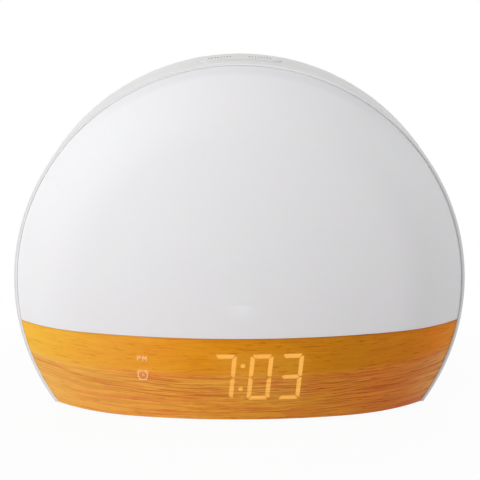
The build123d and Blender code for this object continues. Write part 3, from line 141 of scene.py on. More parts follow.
class Finish(Nodes):
    """A surface finish: a shader, and the nodes that vary its values over the surface."""

    def __init__(self, name, colour, roughness, **shader_values):
        self.name = name
        self.material = bpy.data.materials.new(name)
        self.material.use_nodes = True
        super().__init__(self.material.node_tree)
        self.shader = self.tree.nodes["Principled BSDF"]
        self.set({"Base Color": rgba(colour), "Roughness": roughness})
        self.set({name.replace("_", " "): value for name, value in shader_values.items()})
        self.place = self.add("ShaderNodeTexCoord").outputs["Object"]

    def set(self, values):
        """Sets or joins the shader's own inputs."""
        self.fill(self.shader, values)

    def axes(self):
        """The x, y and z of the place on the object."""
        split = self.add("ShaderNodeSeparateXYZ", {0: self.place})
        return split.outputs[0], split.outputs[1], split.outputs[2]

    def reach(self):
        """The distance from the axis of the round outline."""
        x, y, z = self.axes()
        rise = self.calc("SUBTRACT", z, axis_height)
        return self.calc("SQRT", self.calc("ADD", self.product(x, x), self.product(rise, rise)))

    def noise(self, scale, detail=3.0, rough=0.5, place=None):
        values = {"Vector": place or self.place, "Scale": scale, "Detail": detail, "Roughness": rough}
        return self.add("ShaderNodeTexNoise", values).outputs[0]

    def drawn_noise(self, x, z, pattern):
        """Noise over x and z, drawn out by a scale for each axis; the slice keeps two patterns apart."""
        slice_y, scale, detail, rough = pattern
        joined = self.add("ShaderNodeCombineXYZ", {0: x, 1: slice_y, 2: z}).outputs[0]
        place = self.add("ShaderNodeMapping", {"Vector": joined, "Scale": scale}).outputs[0]
        return self.noise(1.0, detail, rough, place)

    def blend(self, amount, first, second, mode="MIX"):
        """Two colours mixed."""
        values = {0: amount, 6: first, 7: second}
        return self.add("ShaderNodeMix", values, data_type="RGBA", blend_type=mode).outputs[2]

    def tinted(self, amount, colour, tint):
        """The colour, darkened by a tint where the amount says so."""
        return self.blend(amount, colour, rgba(tint), "MULTIPLY")

    def tones(self, value, low, high, stops):
        """Colours one after another as the value goes from low to high, eased between them."""
        share = self.add("ShaderNodeMapRange", {0: value, 1: low, 2: high}).outputs[0]
        ramp = self.add("ShaderNodeValToRGB", {0: share})
        ramp.color_ramp.interpolation = "B_SPLINE"
        elements = ramp.color_ramp.elements
        while len(elements) < len(stops):
            elements.new(0.5)
        for element, (place, colour) in zip(elements, stops):
            element.position = (place - low) / (high - low)
            element.color = rgba(shade(*colour))
        return ramp.outputs[0]

    def relief(self, height, distance):
        """Small relief on the surface, in metres."""
        bump = self.add("ShaderNodeBump", {"Height": height, "Distance": distance})
        self.set({"Normal": bump.outputs[0]})


def moulded(name, colour, roughness, grain_size=0.0004, grain_depth=0.00001, cloud=0.03):
    """Moulded plastic: a fine eroded grain, a faint cloudiness in the colour and in the gloss."""
    finish = Finish(name, colour, roughness)
    clouds = finish.noise(scale=22, detail=2)
    dark = rgba([c * (1 - cloud) for c in colour])
    light = rgba([min(c * (1 + cloud), 1) for c in colour])
    finish.set({"Base Color": finish.blend(clouds, dark, light)})
    gloss = finish.noise(scale=160, detail=3)
    finish.set({"Roughness": finish.band(gloss, *usual, roughness - 0.04, roughness + 0.05)})
    finish.relief(finish.noise(scale=1 / grain_size, detail=2, rough=0.6), grain_depth)
    return finish


def metal(name, colour, roughness):
    """Plated or drawn metal with a patchy gloss."""
    finish = Finish(name, colour, roughness, Metallic=1.0)
    patches = finish.noise(scale=500, detail=4, rough=0.6)
    dark = rgba([c * 0.82 for c in colour])
    spread = 0.12
    finish.set({
        "Base Color": finish.blend(patches, dark, rgba(colour)),
        "Roughness": finish.band(patches, 0.3, 0.75, max(roughness - spread, 0.05), roughness + spread),
    })
    finish.relief(finish.noise(scale=2000, detail=3), 0.000006)
    return finish


# ---- Where the plastics' looks change: each pair is a range that the change is eased across ----
housing_tone = shade(232, 232, 231)
housing_roughness = 0.42
lip_depth = (rim_y + 0.0012, rim_y + 0.0004)
lip_width = (cover_radius + 0.0009, cover_radius + 0.0005)
lip_shade_side = (0.02, 0.085)                  # in x: painted highlight on the lip, white on the left, eased into painted shade greyer towards the right
tick_depth = (key_top_radius - 0.0001, key_top_radius - 0.0003)
tick_length = (0.0016, 0.0014)            # to both sides of the key's middle line
tick_rows = (0.0160, 0.0155)              # in x, to both sides
# The cover's painted light towards its right edge:
lit_edge_reach = (cover_radius - 0.018, cover_radius - 0.002)
lit_edge_side = (0.02, 0.06)
lit_edge_height = (0.130, 0.098)
# The cover's painted shade just inside its upper rim:
rim_shade_reach = (cover_radius - 0.0040, cover_radius - 0.0018)
rim_shade_height = (0.115, 0.140)


def housing_plastic():
    """The housing's white plastic: fine satin grain, and a painted highlight on the lip round the front
    covers, with painted shade towards the right.
    """
    finish = moulded("housing_white", housing_tone, housing_roughness)
    grained = finish.shader.inputs["Base Color"].links[0].from_socket
    x, y, z = finish.axes()
    # Painted highlight: the lip round the front covers is lighter, with painted shade greying it towards the
    # right.
    lip = finish.product(finish.band(y, *lip_depth), finish.band(finish.reach(), *lip_width))
    painted_lip_light_and_shade = finish.blend(finish.band(x, *lip_shade_side), rgba(shade(246, 246, 246)), rgba(shade(206, 206, 206)))
    finish.set({"Base Color": finish.blend(lip, grained, painted_lip_light_and_shade)})
    return finish


def key_cap():
    """The top key's plastic, with painted shade in grey in its sunk grip ticks."""
    finish = moulded("top_key_white", housing_tone, housing_roughness)
    grained = finish.shader.inputs["Base Color"].links[0].from_socket
    x, y, z = finish.axes()
    sunk = finish.band(finish.reach(), *tick_depth)
    off_middle = finish.calc("ABSOLUTE", finish.calc("SUBTRACT", y, key_middle_y))
    in_tick = finish.product(
        finish.band(off_middle, *tick_length), finish.band(finish.calc("ABSOLUTE", x), *tick_rows),
    )
    # Painted shade: the sunk grip ticks are darkened grey.
    tick_painted_shade = finish.blend(finish.product(sunk, in_tick), grained, rgba(shade(96, 96, 98)))
    finish.set({"Base Color": tick_painted_shade})
    return finish


def opal_cover():
    """Opal light cover: satin, a little translucent, with painted shade inside the upper rim and painted
    light towards the right edge.
    """
    finish = Finish(
        "opal_plastic", shade(242, 242, 243), 0.5, Subsurface_Weight=0.12, Subsurface_Scale=0.006,
        Specular_IOR_Level=0.3,
    )
    x, y, z = finish.axes()
    clouds = finish.noise(scale=9, detail=2)
    colour = finish.blend(clouds, rgba(shade(245, 242, 244)), rgba(shade(248, 244, 246)))
    # Painted light: the cover is lighter towards its outer edge on the right.
    edge = finish.band(finish.reach(), *lit_edge_reach)
    edge = finish.product(edge, finish.band(x, *lit_edge_side), finish.band(z, *lit_edge_height))
    colour = finish.blend(edge, colour, rgba(shade(255, 252, 254)))
    # Painted shade: the cover is greyer just inside its upper rim.
    upper_rim_shade = finish.band(finish.reach(), *rim_shade_reach, 0.0, 0.4)
    upper_rim_shade = finish.product(upper_rim_shade, finish.band(z, *rim_shade_height))
    colour = finish.blend(upper_rim_shade, colour, rgba(shade(230, 227, 230)))
    gloss = finish.noise(scale=140, detail=3)
    finish.set({"Base Color": colour, "Roughness": finish.band(gloss, *usual, 0.47, 0.54)})
    finish.relief(finish.noise(scale=2600, detail=2, rough=0.6), 0.000006)
    return finish


# ---- The fascia's wood look: its level runs up the face with the grain's bow and waves ----
calm_edge = (0.0250, 0.0190)      # levels between which the calm upper zone passes into the streaky one
grain_bow = 0.5                   # how the lines rise towards both ends, per metre
wave_height = 0.005
ripple_height = 0.0009
fascia_ends = (-0.09, 0.09)
# Along x these tones are partly the wood's own and partly painted light: lighter on the left, darker to the
# right, with a painted sheen lighter at the right end.
upper_tones_and_light_fall = (
    (-0.084, (255, 199, 62)), (-0.05, (255, 177, 60)), (-0.018, (252, 166, 17)), (0.036, (210, 138, 6)),
    (0.07, (222, 139, 22)), (0.082, (248, 144, 20)), (0.089, (255, 160, 36)),
)
lower_tones_and_light_fall = (
    (-0.084, (255, 201, 90)), (-0.05, (255, 183, 84)), (-0.018, (255, 184, 65)), (0.036, (220, 152, 46)),
    (0.07, (240, 142, 55)), (0.085, (255, 190, 100)),
)
pale_line_tone = (255, 186, 88)

# Patterns: slice, scale along each axis, detail and roughness of a noise.
wave_pattern = (0.0, (14, 1, 55), 2, 0.5)
ripple_pattern = (0.9, (120, 1, 260), 1, 0.5)
line_pattern = (0.0, (42, 1, 1750), 3, 0.6)
band_pattern = (0.2, (24, 1, 520), 3, 0.55)
patch_pattern = (0.4, (20, 1, 150), 2, 0.5)
fibre_pattern = (0.6, (110, 1, 3000), 3, 0.6)
pore_pattern = (0.8, (170, 1, 1700), 2, 0.5)

# The part of a pattern's values that each look starts and is full at, and its tint.
patch_range, patch_tint = (0.45, 0.70), (0.99, 0.91, 0.95)
band_range, band_tint = (0.46, 0.60), (0.96, 0.74, 0.96)
line_range, line_tint = (0.49, 0.59), (0.80, 0.60, 0.60)
middle_range, middle_tint = (0.42, 0.54), (0.90, 0.83, 0.80)
fibre_range, fibre_tint = (0.35, 0.68), (0.93, 0.79, 0.74)
pore_range, pore_tint = (0.58, 0.70), (0.76, 0.56, 0.62)
pale_range = (0.42, 0.30)
middle_top, middle_foot = (0.0215, 0.0180), (0.0090, 0.0130)      # levels round the darkest lines
seam_shade_band, seam_shade_tint = (-0.0008, -0.0004), (0.90, 0.88, 1.0)   # painted shade along the seam, from the fascia's upper edge

# The display's window, where the foil spreads its light.
window_left, window_right = (-0.018, -0.002), (0.032, 0.022)
window_foot, window_top = (0.0085, 0.0125), (0.0350, 0.0310)
window_tone = (0.9, 1.0, 0.22, 1)


def window_glow(finish, x, z):
    """The display's light that the foil spreads over its window: a soft-edged oblong round the digits."""
    across = finish.product(finish.band(x, *window_left), finish.band(x, *window_right))
    up = finish.product(finish.band(z, *window_foot), finish.band(z, *window_top))
    return finish.blend(finish.product(across, up), (0, 0, 0, 1), window_tone)


def grain(finish, x, z):
    """The wood's levels and lines, which run along the clock and waver a little on their way."""
    bow = finish.calc("SUBTRACT", z, finish.product(x, x, grain_bow))
    waves = finish.drawn_noise(x, bow, wave_pattern)
    wave_rise = finish.product(finish.calc("SUBTRACT", waves, 0.5), wave_height)
    level = finish.calc("ADD", bow, wave_rise)
    ripple = finish.drawn_noise(x, bow, ripple_pattern)
    ripple_rise = finish.product(finish.calc("SUBTRACT", ripple, 0.5), ripple_height)
    fine_level = finish.calc("ADD", level, ripple_rise)
    lines = finish.drawn_noise(x, fine_level, line_pattern)
    return level, fine_level, lines


def wood_face():
    """Wood-look foil, satin: calm honey above, fine reddish streaks below, with fibres and short pores."""
    finish = Finish(
        "wood_vinyl", shade(214, 140, 45), 0.4, Specular_IOR_Level=0.14, Emission_Strength=0.035,
    )
    x, y, z = finish.axes()
    level, fine_level, lines = grain(finish, x, z)
    bands = finish.drawn_noise(x, fine_level, band_pattern)
    patches = finish.drawn_noise(x, level, patch_pattern)
    fibres = finish.drawn_noise(x, level, fibre_pattern)
    dashes = finish.drawn_noise(x, level, pore_pattern)
    lower = finish.band(level, *calm_edge)
    # The colour across the fascia carries painted light as well as the wood's tones.
    colour = finish.blend(
        lower, finish.tones(x, *fascia_ends, upper_tones_and_light_fall), finish.tones(x, *fascia_ends, lower_tones_and_light_fall),
    )
    colour = finish.tinted(finish.band(patches, *patch_range), colour, patch_tint)

    # Broad reddish bands and thin lines, strong below the calm zone, hinted at in it, softer at both ends.
    reddish = finish.product(
        finish.band(bands, *band_range), finish.band(lower, 0.0, 1.0, 0.15, 1.0),
        finish.band(x, -0.085, -0.04, 0.6, 1.0),
    )
    colour = finish.tinted(reddish, colour, band_tint)
    ends = finish.product(finish.band(x, -0.085, -0.03, 0.35, 1.0), finish.band(x, 0.05, 0.085, 1.0, 0.6))
    thin = finish.product(finish.band(lines, *line_range), finish.band(lower, 0.0, 1.0, 0.22, 0.85), ends)
    colour = finish.tinted(thin, colour, line_tint)

    # The streaky zone is darkest in its upper half, with pale lines between the dark ones.
    upper_half = finish.product(finish.band(level, *middle_top), finish.band(level, *middle_foot))
    colour = finish.tinted(finish.product(finish.band(lines, *middle_range), upper_half), colour, middle_tint)
    pale = finish.product(finish.band(lines, *pale_range), finish.band(lower, 0.0, 1.0, 0.05, 0.35))
    colour = finish.blend(pale, colour, rgba(shade(*pale_line_tone)))

    # The fibres and pores stand out more towards the darker end, and painted shade darkens the seam along the
    # upper edge.
    toward_dark_end = finish.band(x, -0.05, 0.04, 0.6, 1.0)
    colour = finish.tinted(finish.product(finish.band(fibres, *fibre_range), toward_dark_end), colour, fibre_tint)
    pores = finish.product(finish.band(dashes, *pore_range), toward_dark_end)
    colour = finish.tinted(pores, colour, pore_tint)
    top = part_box("wood_panel")[1][2]
    # Painted shade along the seam at the fascia's upper edge.
    seam_shade_mask = finish.band(z, top + seam_shade_band[0], top + seam_shade_band[1])
    colour = finish.tinted(seam_shade_mask, colour, seam_shade_tint)

    finish.set({
        "Base Color": colour,
        "Emission Color": window_glow(finish, x, z),
        "Roughness": finish.band(fibres, *usual, 0.36, 0.46),
    })
    finish.relief(finish.calc("SUBTRACT", fibres, finish.product(pores, 1.5)), 0.00001)
    return finish


def lit_mark(name, glow, strength, dim_share=0.8):
    """A lit figure that shows through the fascia's foil, so that the grain runs faintly through it."""
    finish = Finish(name, [c * 0.25 for c in glow], 0.4, Emission_Strength=strength)
    x, y, z = finish.axes()
    level, fine_level, lines = grain(finish, x, z)
    streaks = finish.product(finish.band(lines, 0.46, 0.60), finish.band(level, *calm_edge, 0.3, 1.0))
    cloud = finish.noise(scale=420, detail=2)
    covered = finish.calc("MAXIMUM", streaks, finish.band(cloud, 0.5, 0.75, 0.0, 0.5))
    dim = rgba([c * k for c, k in zip(glow, (dim_share, dim_share * 0.9, dim_share * 0.8))])
    finish.set({"Emission Color": finish.blend(covered, rgba(glow), dim)})
    return finish


def board(name, mask, copper):
    """Circuit board: solder mask over a faint grid of tracks."""
    finish = Finish(name, mask, 0.35, Coat_Weight=0.3, Coat_Roughness=0.2)
    black = (0, 0, 0, 1)
    grid = finish.add("ShaderNodeTexBrick", {
        "Vector": finish.place, "Scale": 260, "Mortar Size": 0.03, "Mortar Smooth": 0.2,
        "Color1": black, "Color2": black, "Mortar": (1, 1, 1, 1),
    }).outputs[0]
    patches = finish.noise(scale=90, detail=3)
    tracks = finish.product(grid, finish.band(patches, 0.45, 0.55))
    finish.set({"Base Color": finish.blend(tracks, rgba(mask), rgba(copper))})
    finish.relief(tracks, 0.00003)
    return finish


def ribbon():
    """Flat cable: grey insulation, ribbed lengthwise over its cores."""
    grey = shade(188, 190, 194)
    finish = Finish("ribbon_grey", grey, 0.45)
    x, y, z = finish.axes()
    ribs = finish.calc("ABSOLUTE", finish.calc("SINE", finish.product(x, 2800)))
    # Painted shade: the grooves between the ribs are darker.
    finish.set({"Base Color": finish.blend(ribs, rgba([c * 0.8 for c in grey]), rgba(grey))})
    finish.relief(ribs, 0.00008)
    return finish


# Moulded ones: name, colour, roughness, grain size, grain depth, cloudiness. Metals: name, colour, roughness.
all_finishes = (
    opal_cover(),
    wood_face(),
    housing_plastic(),
    moulded("key_plastic", shade(222, 222, 221), 0.34, 0.0003, 0.000006),
    moulded("reflector_white", shade(244, 244, 243), 0.6),
    moulded("base_white", shade(222, 222, 221), 0.5, 0.0006, 0.00002),
    moulded("foot_rubber", shade(66, 66, 68), 0.78, 0.0005, 0.00003, 0.12),
    moulded("gasket_foam", shade(40, 40, 42), 0.92, 0.0006, 0.00012, 0.2),
    moulded("surround_rubber", shade(30, 30, 32), 0.6, 0.0008, 0.00001, 0.1),
    metal("screw_steel", shade(196, 196, 192), 0.32),
    board("white_board", shade(238, 240, 238), shade(214, 216, 214)),
    board("green_board", shade(22, 92, 52), shade(44, 128, 70)),
    moulded("led_phosphor", shade(244, 214, 110), 0.25, 0.0003, 0.000004, 0.08),
    lit_mark("amber_cells", shade(246, 176, 86), 0.9),
    moulded("dark_cells", shade(206, 198, 184), 0.4, 0.0003, 0.000005),
    moulded("clear_guide", shade(226, 222, 214), 0.3, 0.0003, 0.000005),
    moulded("black_resin", shade(38, 38, 40), 0.55, 0.0003, 0.00001, 0.1),
    moulded("plunger_plastic", shade(222, 218, 206), 0.4),
    moulded("connector_plastic", shade(232, 226, 208), 0.45),
    metal("capacitor_can", shade(196, 198, 202), 0.28),
    metal("socket_steel", shade(202, 202, 202), 0.26),
    metal("cell_steel", shade(212, 212, 210), 0.22),
    metal("contact_nickel", shade(214, 208, 196), 0.2),
    moulded("frame_steel", shade(52, 52, 54), 0.4, 0.0004, 0.00001, 0.1),
    moulded("ferrite", shade(58, 58, 60), 0.7, 0.0007, 0.00004, 0.15),
    moulded("cone_paper", shade(52, 49, 46), 0.85, 0.0009, 0.00006, 0.2),
    ribbon(),
    moulded("lead_red", shade(186, 44, 38), 0.4, 0.0005, 0.000006, 0.06),
)
finishes = {finish.name: finish for finish in all_finishes}
own_finishes = {"top_key": key_cap()}
node_slots = {entry["node"]: entry["material_slot"] for entry in frame["record"]["subparts"]}
for node_name, node in frame["nodes"].items():
    finish = own_finishes.get(node_name) or finishes[node_slots[node_name]]
    if not node.material_slots:
        node.data.materials.append(finish.material)
    for slot in node.material_slots:
        slot.material = finish.material


# ---- Flat marks: drawn level on the x-y plane, then laid onto the surface that carries them ----
weld_distance = 2e-7
same_angle = 1e-6


def add_patch(bm, corners, cell):
    """A convex patch with the given corners, in anticlockwise order, from a fine grid cut along each side."""
    xs, zs = zip(*corners)
    middle = Vector(((min(xs) + max(xs)) / 2, (min(zs) + max(zs)) / 2, 0))
    half = Vector(((max(xs) - min(xs)) / 2, (max(zs) - min(zs)) / 2, 1))
    steps = [max(int(2 * half[i] / cell), 1) for i in (0, 1)]
    place = Matrix.Translation(middle) @ Matrix.Diagonal((half.x, half.y, 1, 1))
    verts = bmesh.ops.create_grid(bm, x_segments=steps[0], y_segments=steps[1], size=1, matrix=place)["verts"]
    edges = {edge for vert in verts for edge in vert.link_edges}
    faces = {face for vert in verts for face in vert.link_faces}
    geom = [*verts, *edges, *faces]
    for start, end in zip(corners, corners[1:] + corners[:1]):
        side = Vector((end[0] - start[0], end[1] - start[1], 0))
        cut = bmesh.ops.bisect_plane(
            bm, geom=geom, dist=1e-8, plane_co=(*start, 0), plane_no=(side.y, -side.x, 0), clear_outer=True,
        )
        geom = [g for g in cut["geom"] if g.is_valid]


def add_bar(bm, start, end, width, cell):
    """A straight stroke between two points."""
    first, last = Vector(start), Vector(end)
    along = (last - first).normalized() * width / 2
    side = Vector((-along.y, along.x))
    add_patch(bm, [tuple(first - side), tuple(last - side), tuple(last + side), tuple(first + side)], cell)


def add_arc(bm, middle, radius, width, start, sweep, steps):
    """A stroke along an arc or a whole ring, from a spun edge."""
    ends = []
    for reach in (radius - width / 2, radius + width / 2):
        ends.append(bm.verts.new((middle[0] + reach * cos(start), middle[1] + reach * sin(start), 0)))
    edge = bm.edges.new(ends)
    whole_ring = abs(sweep - 2 * pi) < same_angle
    bmesh.ops.spin(
        bm, geom=[*ends, edge], cent=(*middle, 0), axis=(0, 0, 1), angle=sweep, steps=steps,
        use_merge=whole_ring,
    )


def add_disc(bm, middle, radius, steps):
    """A round dot."""
    place = Matrix.Translation((*middle, 0))
    bmesh.ops.create_circle(bm, cap_ends=True, segments=steps, radius=radius, matrix=place)


def thicken(bm, place_of):
    """Gives flat marks their thickness: place_of tells where a point of their raised or sunk face goes."""
    bmesh.ops.remove_doubles(bm, verts=bm.verts, dist=weld_distance)
    for face in bm.faces:
        if face.normal.z < 0:
            face.normal_flip()
    body = bmesh.ops.extrude_face_region(bm, geom=list(bm.faces))
    raised = {v for v in body["geom"] if isinstance(v, bmesh.types.BMVert)}
    for vert in bm.verts:
        vert.co = place_of(vert.co.x, vert.co.y, vert in raised)
    bmesh.ops.recalc_face_normals(bm, faces=bm.faces)


def lay_on_front(bm):
    """Sets flat marks upright on the domed front, a hair proud of it."""
    def place_of(x, z, raised):
        return Vector((x, front_depth(x, z) + (-mark_proud if raised else mark_sunk), z))

    thicken(bm, place_of)


def lay_on_back(bm, face_y, middle):
    """Sets flat marks on a face that looks to the back, seen the right way round from there."""
    def place_of(x, z, raised):
        return Vector((middle[0] - x, face_y + (ink_proud if raised else -ink_sunk), middle[1] + z))

    thicken(bm, place_of)


def make_piece(name, bm, finish, body):
    """A finished piece on its body, with its finish as its material."""
    bmesh.ops.triangulate(bm, faces=[f for f in bm.faces if len(f.verts) > 4])
    mesh = bpy.data.meshes.new(name)
    bm.to_mesh(mesh)
    bm.free()
    mesh.materials.append(finish.material)
    piece = bpy.data.objects.new(name, mesh)
    bpy.context.scene.collection.objects.link(piece)
    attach(piece, body)


# ---- The lit time ----
digit_height = 0.0209
digit_width = 0.0094
digit_stroke = 0.00178
digit_pitch = 0.01255
colon_room = 0.0025
digit_slant = radians(5.0)
digit_middle = (0.00072, 0.0216)
segment_gap = 0.00022
corner_cut = 0.0009
colon_dot_radius = 0.00095
colon_dot_steps = 24
colon_spacing = 0.0106
mark_proud = 0.00004
mark_sunk = 0.00012
mark_cell = 0.0007
shown = {                     # each digit's place in steps of the pitch, and its lit segments
    -0.5: ("top", "upper_right", "lower_right"),
    0.5: ("top", "upper_right", "lower_right", "bottom", "lower_left", "upper_left"),
    1.5: ("top", "upper_right", "lower_right", "bottom", "middle"),
}


def segment_corners(name):
    """Corners of one of a digit's seven segments, about the digit's middle."""
    half_w = (digit_width - digit_stroke) / 2
    half_h = (digit_height - digit_stroke) / 2
    half_s = digit_stroke / 2
    tip = half_w - segment_gap
    shoulder = half_w - half_s - segment_gap
    if name == "middle":
        upper = [(tip, 0), (shoulder, half_s), (-shoulder, half_s)]
        return upper + [(-x, -z) for x, z in upper]
    if name in ("top", "bottom"):
        right = [(shoulder, half_h - half_s), (tip, half_h), (half_w + half_s - corner_cut, half_h + half_s)]
        corners = right + [(-x, z) for x, z in reversed(right)]
        return corners if name == "top" else [(x, -z) for x, z in reversed(corners)]
    corners = [
        (half_w, segment_gap),
        (half_w + half_s, 2 * segment_gap),
        (half_w + half_s, half_h + half_s - corner_cut),
        (half_w, half_h - segment_gap),
        (half_w - half_s, half_h - half_s - segment_gap),
        (half_w - half_s, half_s + segment_gap),
    ]
    if "lower" in name:
        corners = [(x, -z) for x, z in reversed(corners)]
    if "left" in name:
        corners = [(-x, z) for x, z in reversed(corners)]
    return corners


def leaned(x, z):
    """A point of the display leaned over with its digits and put in its place."""
    return (digit_middle[0] + x + z * tan(digit_slant), digit_middle[1] + z)


bm = bmesh.new()
for place, names in shown.items():
    digit_x = place * digit_pitch + (colon_room / 2 if place > 0 else -colon_room / 2)
    for segment in names:
        add_patch(bm, [leaned(digit_x + x, z) for x, z in segment_corners(segment)], mark_cell)
for side in (1, -1):
    add_disc(bm, leaned(0, side * colon_spacing / 2), colon_dot_radius, colon_dot_steps)
lay_on_front(bm)
make_piece("lit_time", bm, lit_mark("lit_time", shade(243, 174, 70), 0.88, 0.76), "clock")

# ---- The lit PM and alarm marks ----
pm_low = (-0.0422, 0.02815)
pm_height = 0.0021
letter_width = 0.00135
letter_gap = 0.0008
letter_stroke = 0.00028
bowl_share = 0.5              # of the letter's height, where the P's bowl ends
dip_share = 0.3               # of the letter's height, where the M's slopes meet
m_widening = 1.1              # of the M over the P
bowl_steps = 10
bell_middle = (-0.0402, 0.0214)
bell_radius = 0.00195
bell_stroke = 0.00037
ring_steps = 40


def add_letters(bm):
    """The letters P and M as strokes."""
    half = letter_stroke / 2
    x, low = pm_low
    top = low + pm_height
    mid = low + pm_height * bowl_share
    bowl = (top - mid) / 2
    bowl_x = x + letter_width - bowl
    bowl_middle = (bowl_x, (top + mid - half) / 2)
    left = x + letter_width + letter_gap
    right = left + letter_width * m_widening
    dip = ((left + right) / 2, low + pm_height * dip_share)
    p_strokes = (
        ((x, low), (x, top)),
        ((x + half, top - half), (bowl_x, top - half)),
        ((x + half, mid), (bowl_x, mid)),
    )
    m_strokes = (
        ((left, low), (left, top)),
        ((right, low), (right, top)),
        ((left + half, top), dip),
        ((right - half, top), dip),
    )
    for start, end in p_strokes:
        add_bar(bm, start, end, letter_stroke, mark_cell)
    add_arc(bm, bowl_middle, bowl - letter_stroke / 4, letter_stroke, -pi / 2, pi, bowl_steps)
    for start, end in m_strokes:
        add_bar(bm, start, end, letter_stroke, mark_cell)


def add_alarm_clock(bm, middle, radius, stroke, cell):
    """A small alarm clock: ring, two bells, two feet and hands."""
    bell_reach, bell_turn, bell_half, bell_steps = radius * 1.34, radians(43), radians(22), 8
    foot_x, foot_z, foot_length = 0.62, -0.80, 1.35
    thin, thinner, overlap = stroke * 0.9, stroke * 0.8, stroke * 0.2
    long_hand, short_hand, short_hand_drop = radius * 0.55, radius * 0.48, radius * 0.1
    x, z = middle
    add_arc(bm, middle, radius, stroke, 0, 2 * pi, ring_steps)
    for side in (1, -1):
        bell_start = pi / 2 + side * bell_turn - bell_half
        add_arc(bm, middle, bell_reach, thin, bell_start, 2 * bell_half, bell_steps)
        foot = Vector((side * foot_x, foot_z)) * radius
        foot_end = (x + foot.x * foot_length, z + foot.y * foot_length)
        add_bar(bm, (x + foot.x, z + foot.y), foot_end, thin, cell)
    add_bar(bm, (x, z - overlap), (x, z + long_hand), thinner, cell)
    add_bar(bm, (x - overlap, z), (x + short_hand, z - short_hand_drop), thinner, cell)


bm = bmesh.new()
add_letters(bm)
add_alarm_clock(bm, bell_middle, bell_radius, bell_stroke, mark_cell)
lay_on_front(bm)
make_piece("lit_signs", bm, lit_mark("lit_signs", shade(240, 190, 146), 0.92, 0.85), "clock")

# ---- Printed signs on the rear keys ----
ink = moulded("key_ink", shade(120, 121, 124), 0.5, 0.0003, 0.000004, 0.06)
ink_stroke = 0.00042
ink_cell = 0.002
ink_proud = 0.00003
ink_sunk = 0.0001
key_sign = 0.0018             # reach of a sign from its middle
sign_arm = key_sign * 0.85    # of the plus and minus
arm_stroke = ink_stroke * 1.15


def draw_time(bm):
    """A clock face with two hands."""
    long_hand, short_hand = key_sign * 0.62, key_sign * 0.5
    add_arc(bm, (0, 0), key_sign, ink_stroke, 0, 2 * pi, ring_steps)
    add_bar(bm, (0, -ink_stroke / 2), (0, long_hand), ink_stroke, ink_cell)
    add_bar(bm, (-ink_stroke / 2, 0), (short_hand, 0), ink_stroke, ink_cell)


def draw_alarm(bm):
    add_alarm_clock(bm, (0, 0), key_sign * 0.8, ink_stroke, ink_cell)


def draw_sound(bm):
    """A speaker's magnet and cone, and two waves."""
    magnet_left, magnet_right, magnet_half = -0.0019, -0.0011, 0.0006
    cone_left, cone_right, cone_half = -0.0010, -0.0001, 0.0015
    wave_radii, wave_half, wave_steps = (0.0009, 0.0017), radians(42), 10
    magnet = [(magnet_left, -magnet_half), (magnet_right, -magnet_half)]
    cone = [(cone_left, -magnet_half), (cone_right, -cone_half)]
    for lower in (magnet, cone):
        add_patch(bm, lower + [(x, -z) for x, z in reversed(lower)], ink_cell)
    for radius in wave_radii:
        add_arc(bm, (0, 0), radius, ink_stroke * 0.8, -wave_half, 2 * wave_half, wave_steps)


def draw_light(bm):
    """A lamp's round face with eight rays."""
    rays, ray_start, ray_end = 8, 0.78, 1.12
    face_radius, face_steps = key_sign * 0.48, 32
    add_arc(bm, (0, 0), face_radius, ink_stroke, 0, 2 * pi, face_steps)
    for ray in range(rays):
        turn = ray * 2 * pi / rays
        out = Vector((cos(turn), sin(turn))) * key_sign
        add_bar(bm, tuple(out * ray_start), tuple(out * ray_end), ink_stroke, ink_cell)


def draw_down(bm):
    """A minus."""
    add_bar(bm, (-sign_arm, 0), (sign_arm, 0), arm_stroke, ink_cell)


def draw_up(bm):
    """A plus: the minus with an arm above it and one below."""
    draw_down(bm)
    add_bar(bm, (0, arm_stroke / 2), (0, sign_arm), arm_stroke, ink_cell)
    add_bar(bm, (0, -sign_arm), (0, -arm_stroke / 2), arm_stroke, ink_cell)


drawings = {
    "time": draw_time, "alarm": draw_alarm, "sound": draw_sound, "light": draw_light, "down": draw_down,
    "up": draw_up,
}
for key, draw in drawings.items():
    low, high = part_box(f"rear_key_{key}")
    bm = bmesh.new()
    draw(bm)
    lay_on_back(bm, high[1], ((low[0] + high[0]) / 2, (low[2] + high[2]) / 2))
    make_piece(f"key_sign_{key}", bm, ink, f"key_{key}")


# ---- Floor, world and lamps ----
floor_half = 4
floor_tone = shade(214, 214, 214)         # what the floor throws back onto the clock
shadow_reach = (0.08, 0.18)               # distances over which the floor's own shadow fades into plain white
ambient_light = 0.335
lamp_target = (0, 0, 0.06)


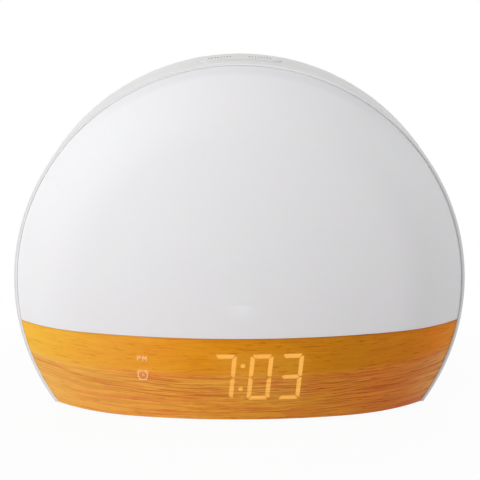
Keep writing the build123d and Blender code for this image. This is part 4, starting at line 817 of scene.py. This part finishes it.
def plain_floor():
    """A wide pale floor: seen as white, with the clock's shadow kept faintly near it."""
    bm = bmesh.new()
    bmesh.ops.create_grid(bm, x_segments=1, y_segments=1, size=floor_half)
    mesh = bpy.data.meshes.new("floor")
    bm.to_mesh(mesh)
    bm.free()
    floor = bpy.data.objects.new("floor", mesh)
    bpy.context.scene.collection.objects.link(floor)
    finish = Finish("floor_white", floor_tone, 0.9, Specular_IOR_Level=0)
    mesh.materials.append(finish.material)
    white = finish.add("ShaderNodeEmission", {"Strength": 1.0}).outputs[0]
    reach = finish.add("ShaderNodeVectorMath", {0: finish.place}, operation="LENGTH").outputs["Value"]
    path = finish.add("ShaderNodeLightPath").outputs
    seen = finish.calc("MAXIMUM", path["Is Camera Ray"], path["Is Glossy Ray"])
    share = finish.product(seen, finish.band(reach, *shadow_reach, 0.95, 1.0))
    mixed = finish.add("ShaderNodeMixShader", {0: share, 1: finish.shader.outputs[0], 2: white}).outputs[0]
    finish.fill(finish.tree.nodes["Material Output"], {"Surface": mixed})


def studio_world():
    """Even white light all round; the camera, gloss and glass see it as plain white."""
    world = bpy.data.worlds.new("studio")
    bpy.context.scene.world = world
    world.use_nodes = True
    nodes = Nodes(world.node_tree)
    path = nodes.add("ShaderNodeLightPath").outputs
    seen = nodes.calc("MAXIMUM", path["Is Camera Ray"], path["Is Transmission Ray"])
    seen = nodes.calc("MAXIMUM", seen, path["Is Glossy Ray"])
    strengths = {"Value": seen, "To Min": ambient_light, "To Max": 1.0}
    strength = nodes.add("ShaderNodeMapRange", strengths).outputs[0]
    nodes.fill(world.node_tree.nodes["Background"], {"Color": (1, 1, 1, 1), "Strength": strength})


def soft_lamp(name, place, size, power, gloss=True):
    """A square softbox; one without gloss lights the surfaces and isn't mirrored in them."""
    lamp = bpy.data.objects.new(name, bpy.data.lights.new(name, "AREA"))
    lamp.data.shape = "SQUARE"
    lamp.data.size = size
    lamp.data.energy = power
    lamp.visible_glossy = gloss
    lamp.location = place
    lamp.rotation_euler = (Vector(lamp_target) - Vector(place)).to_track_quat("-Z", "Y").to_euler()
    bpy.context.scene.collection.objects.link(lamp)


plain_floor()
studio_world()
soft_lamp("key_softbox", (-1.05, -0.95, 0.78), size=1.3, power=15.6)
soft_lamp("top_softbox", (0.0, -0.7, 1.2), size=1.0, power=1.7)
soft_lamp("side_softbox", (1.25, 0.27, 0.27), size=0.6, power=3.4, gloss=False)
soft_lamp("rear_softbox", (-0.1, 1.25, 0.27), size=0.6, power=7.0, gloss=False)
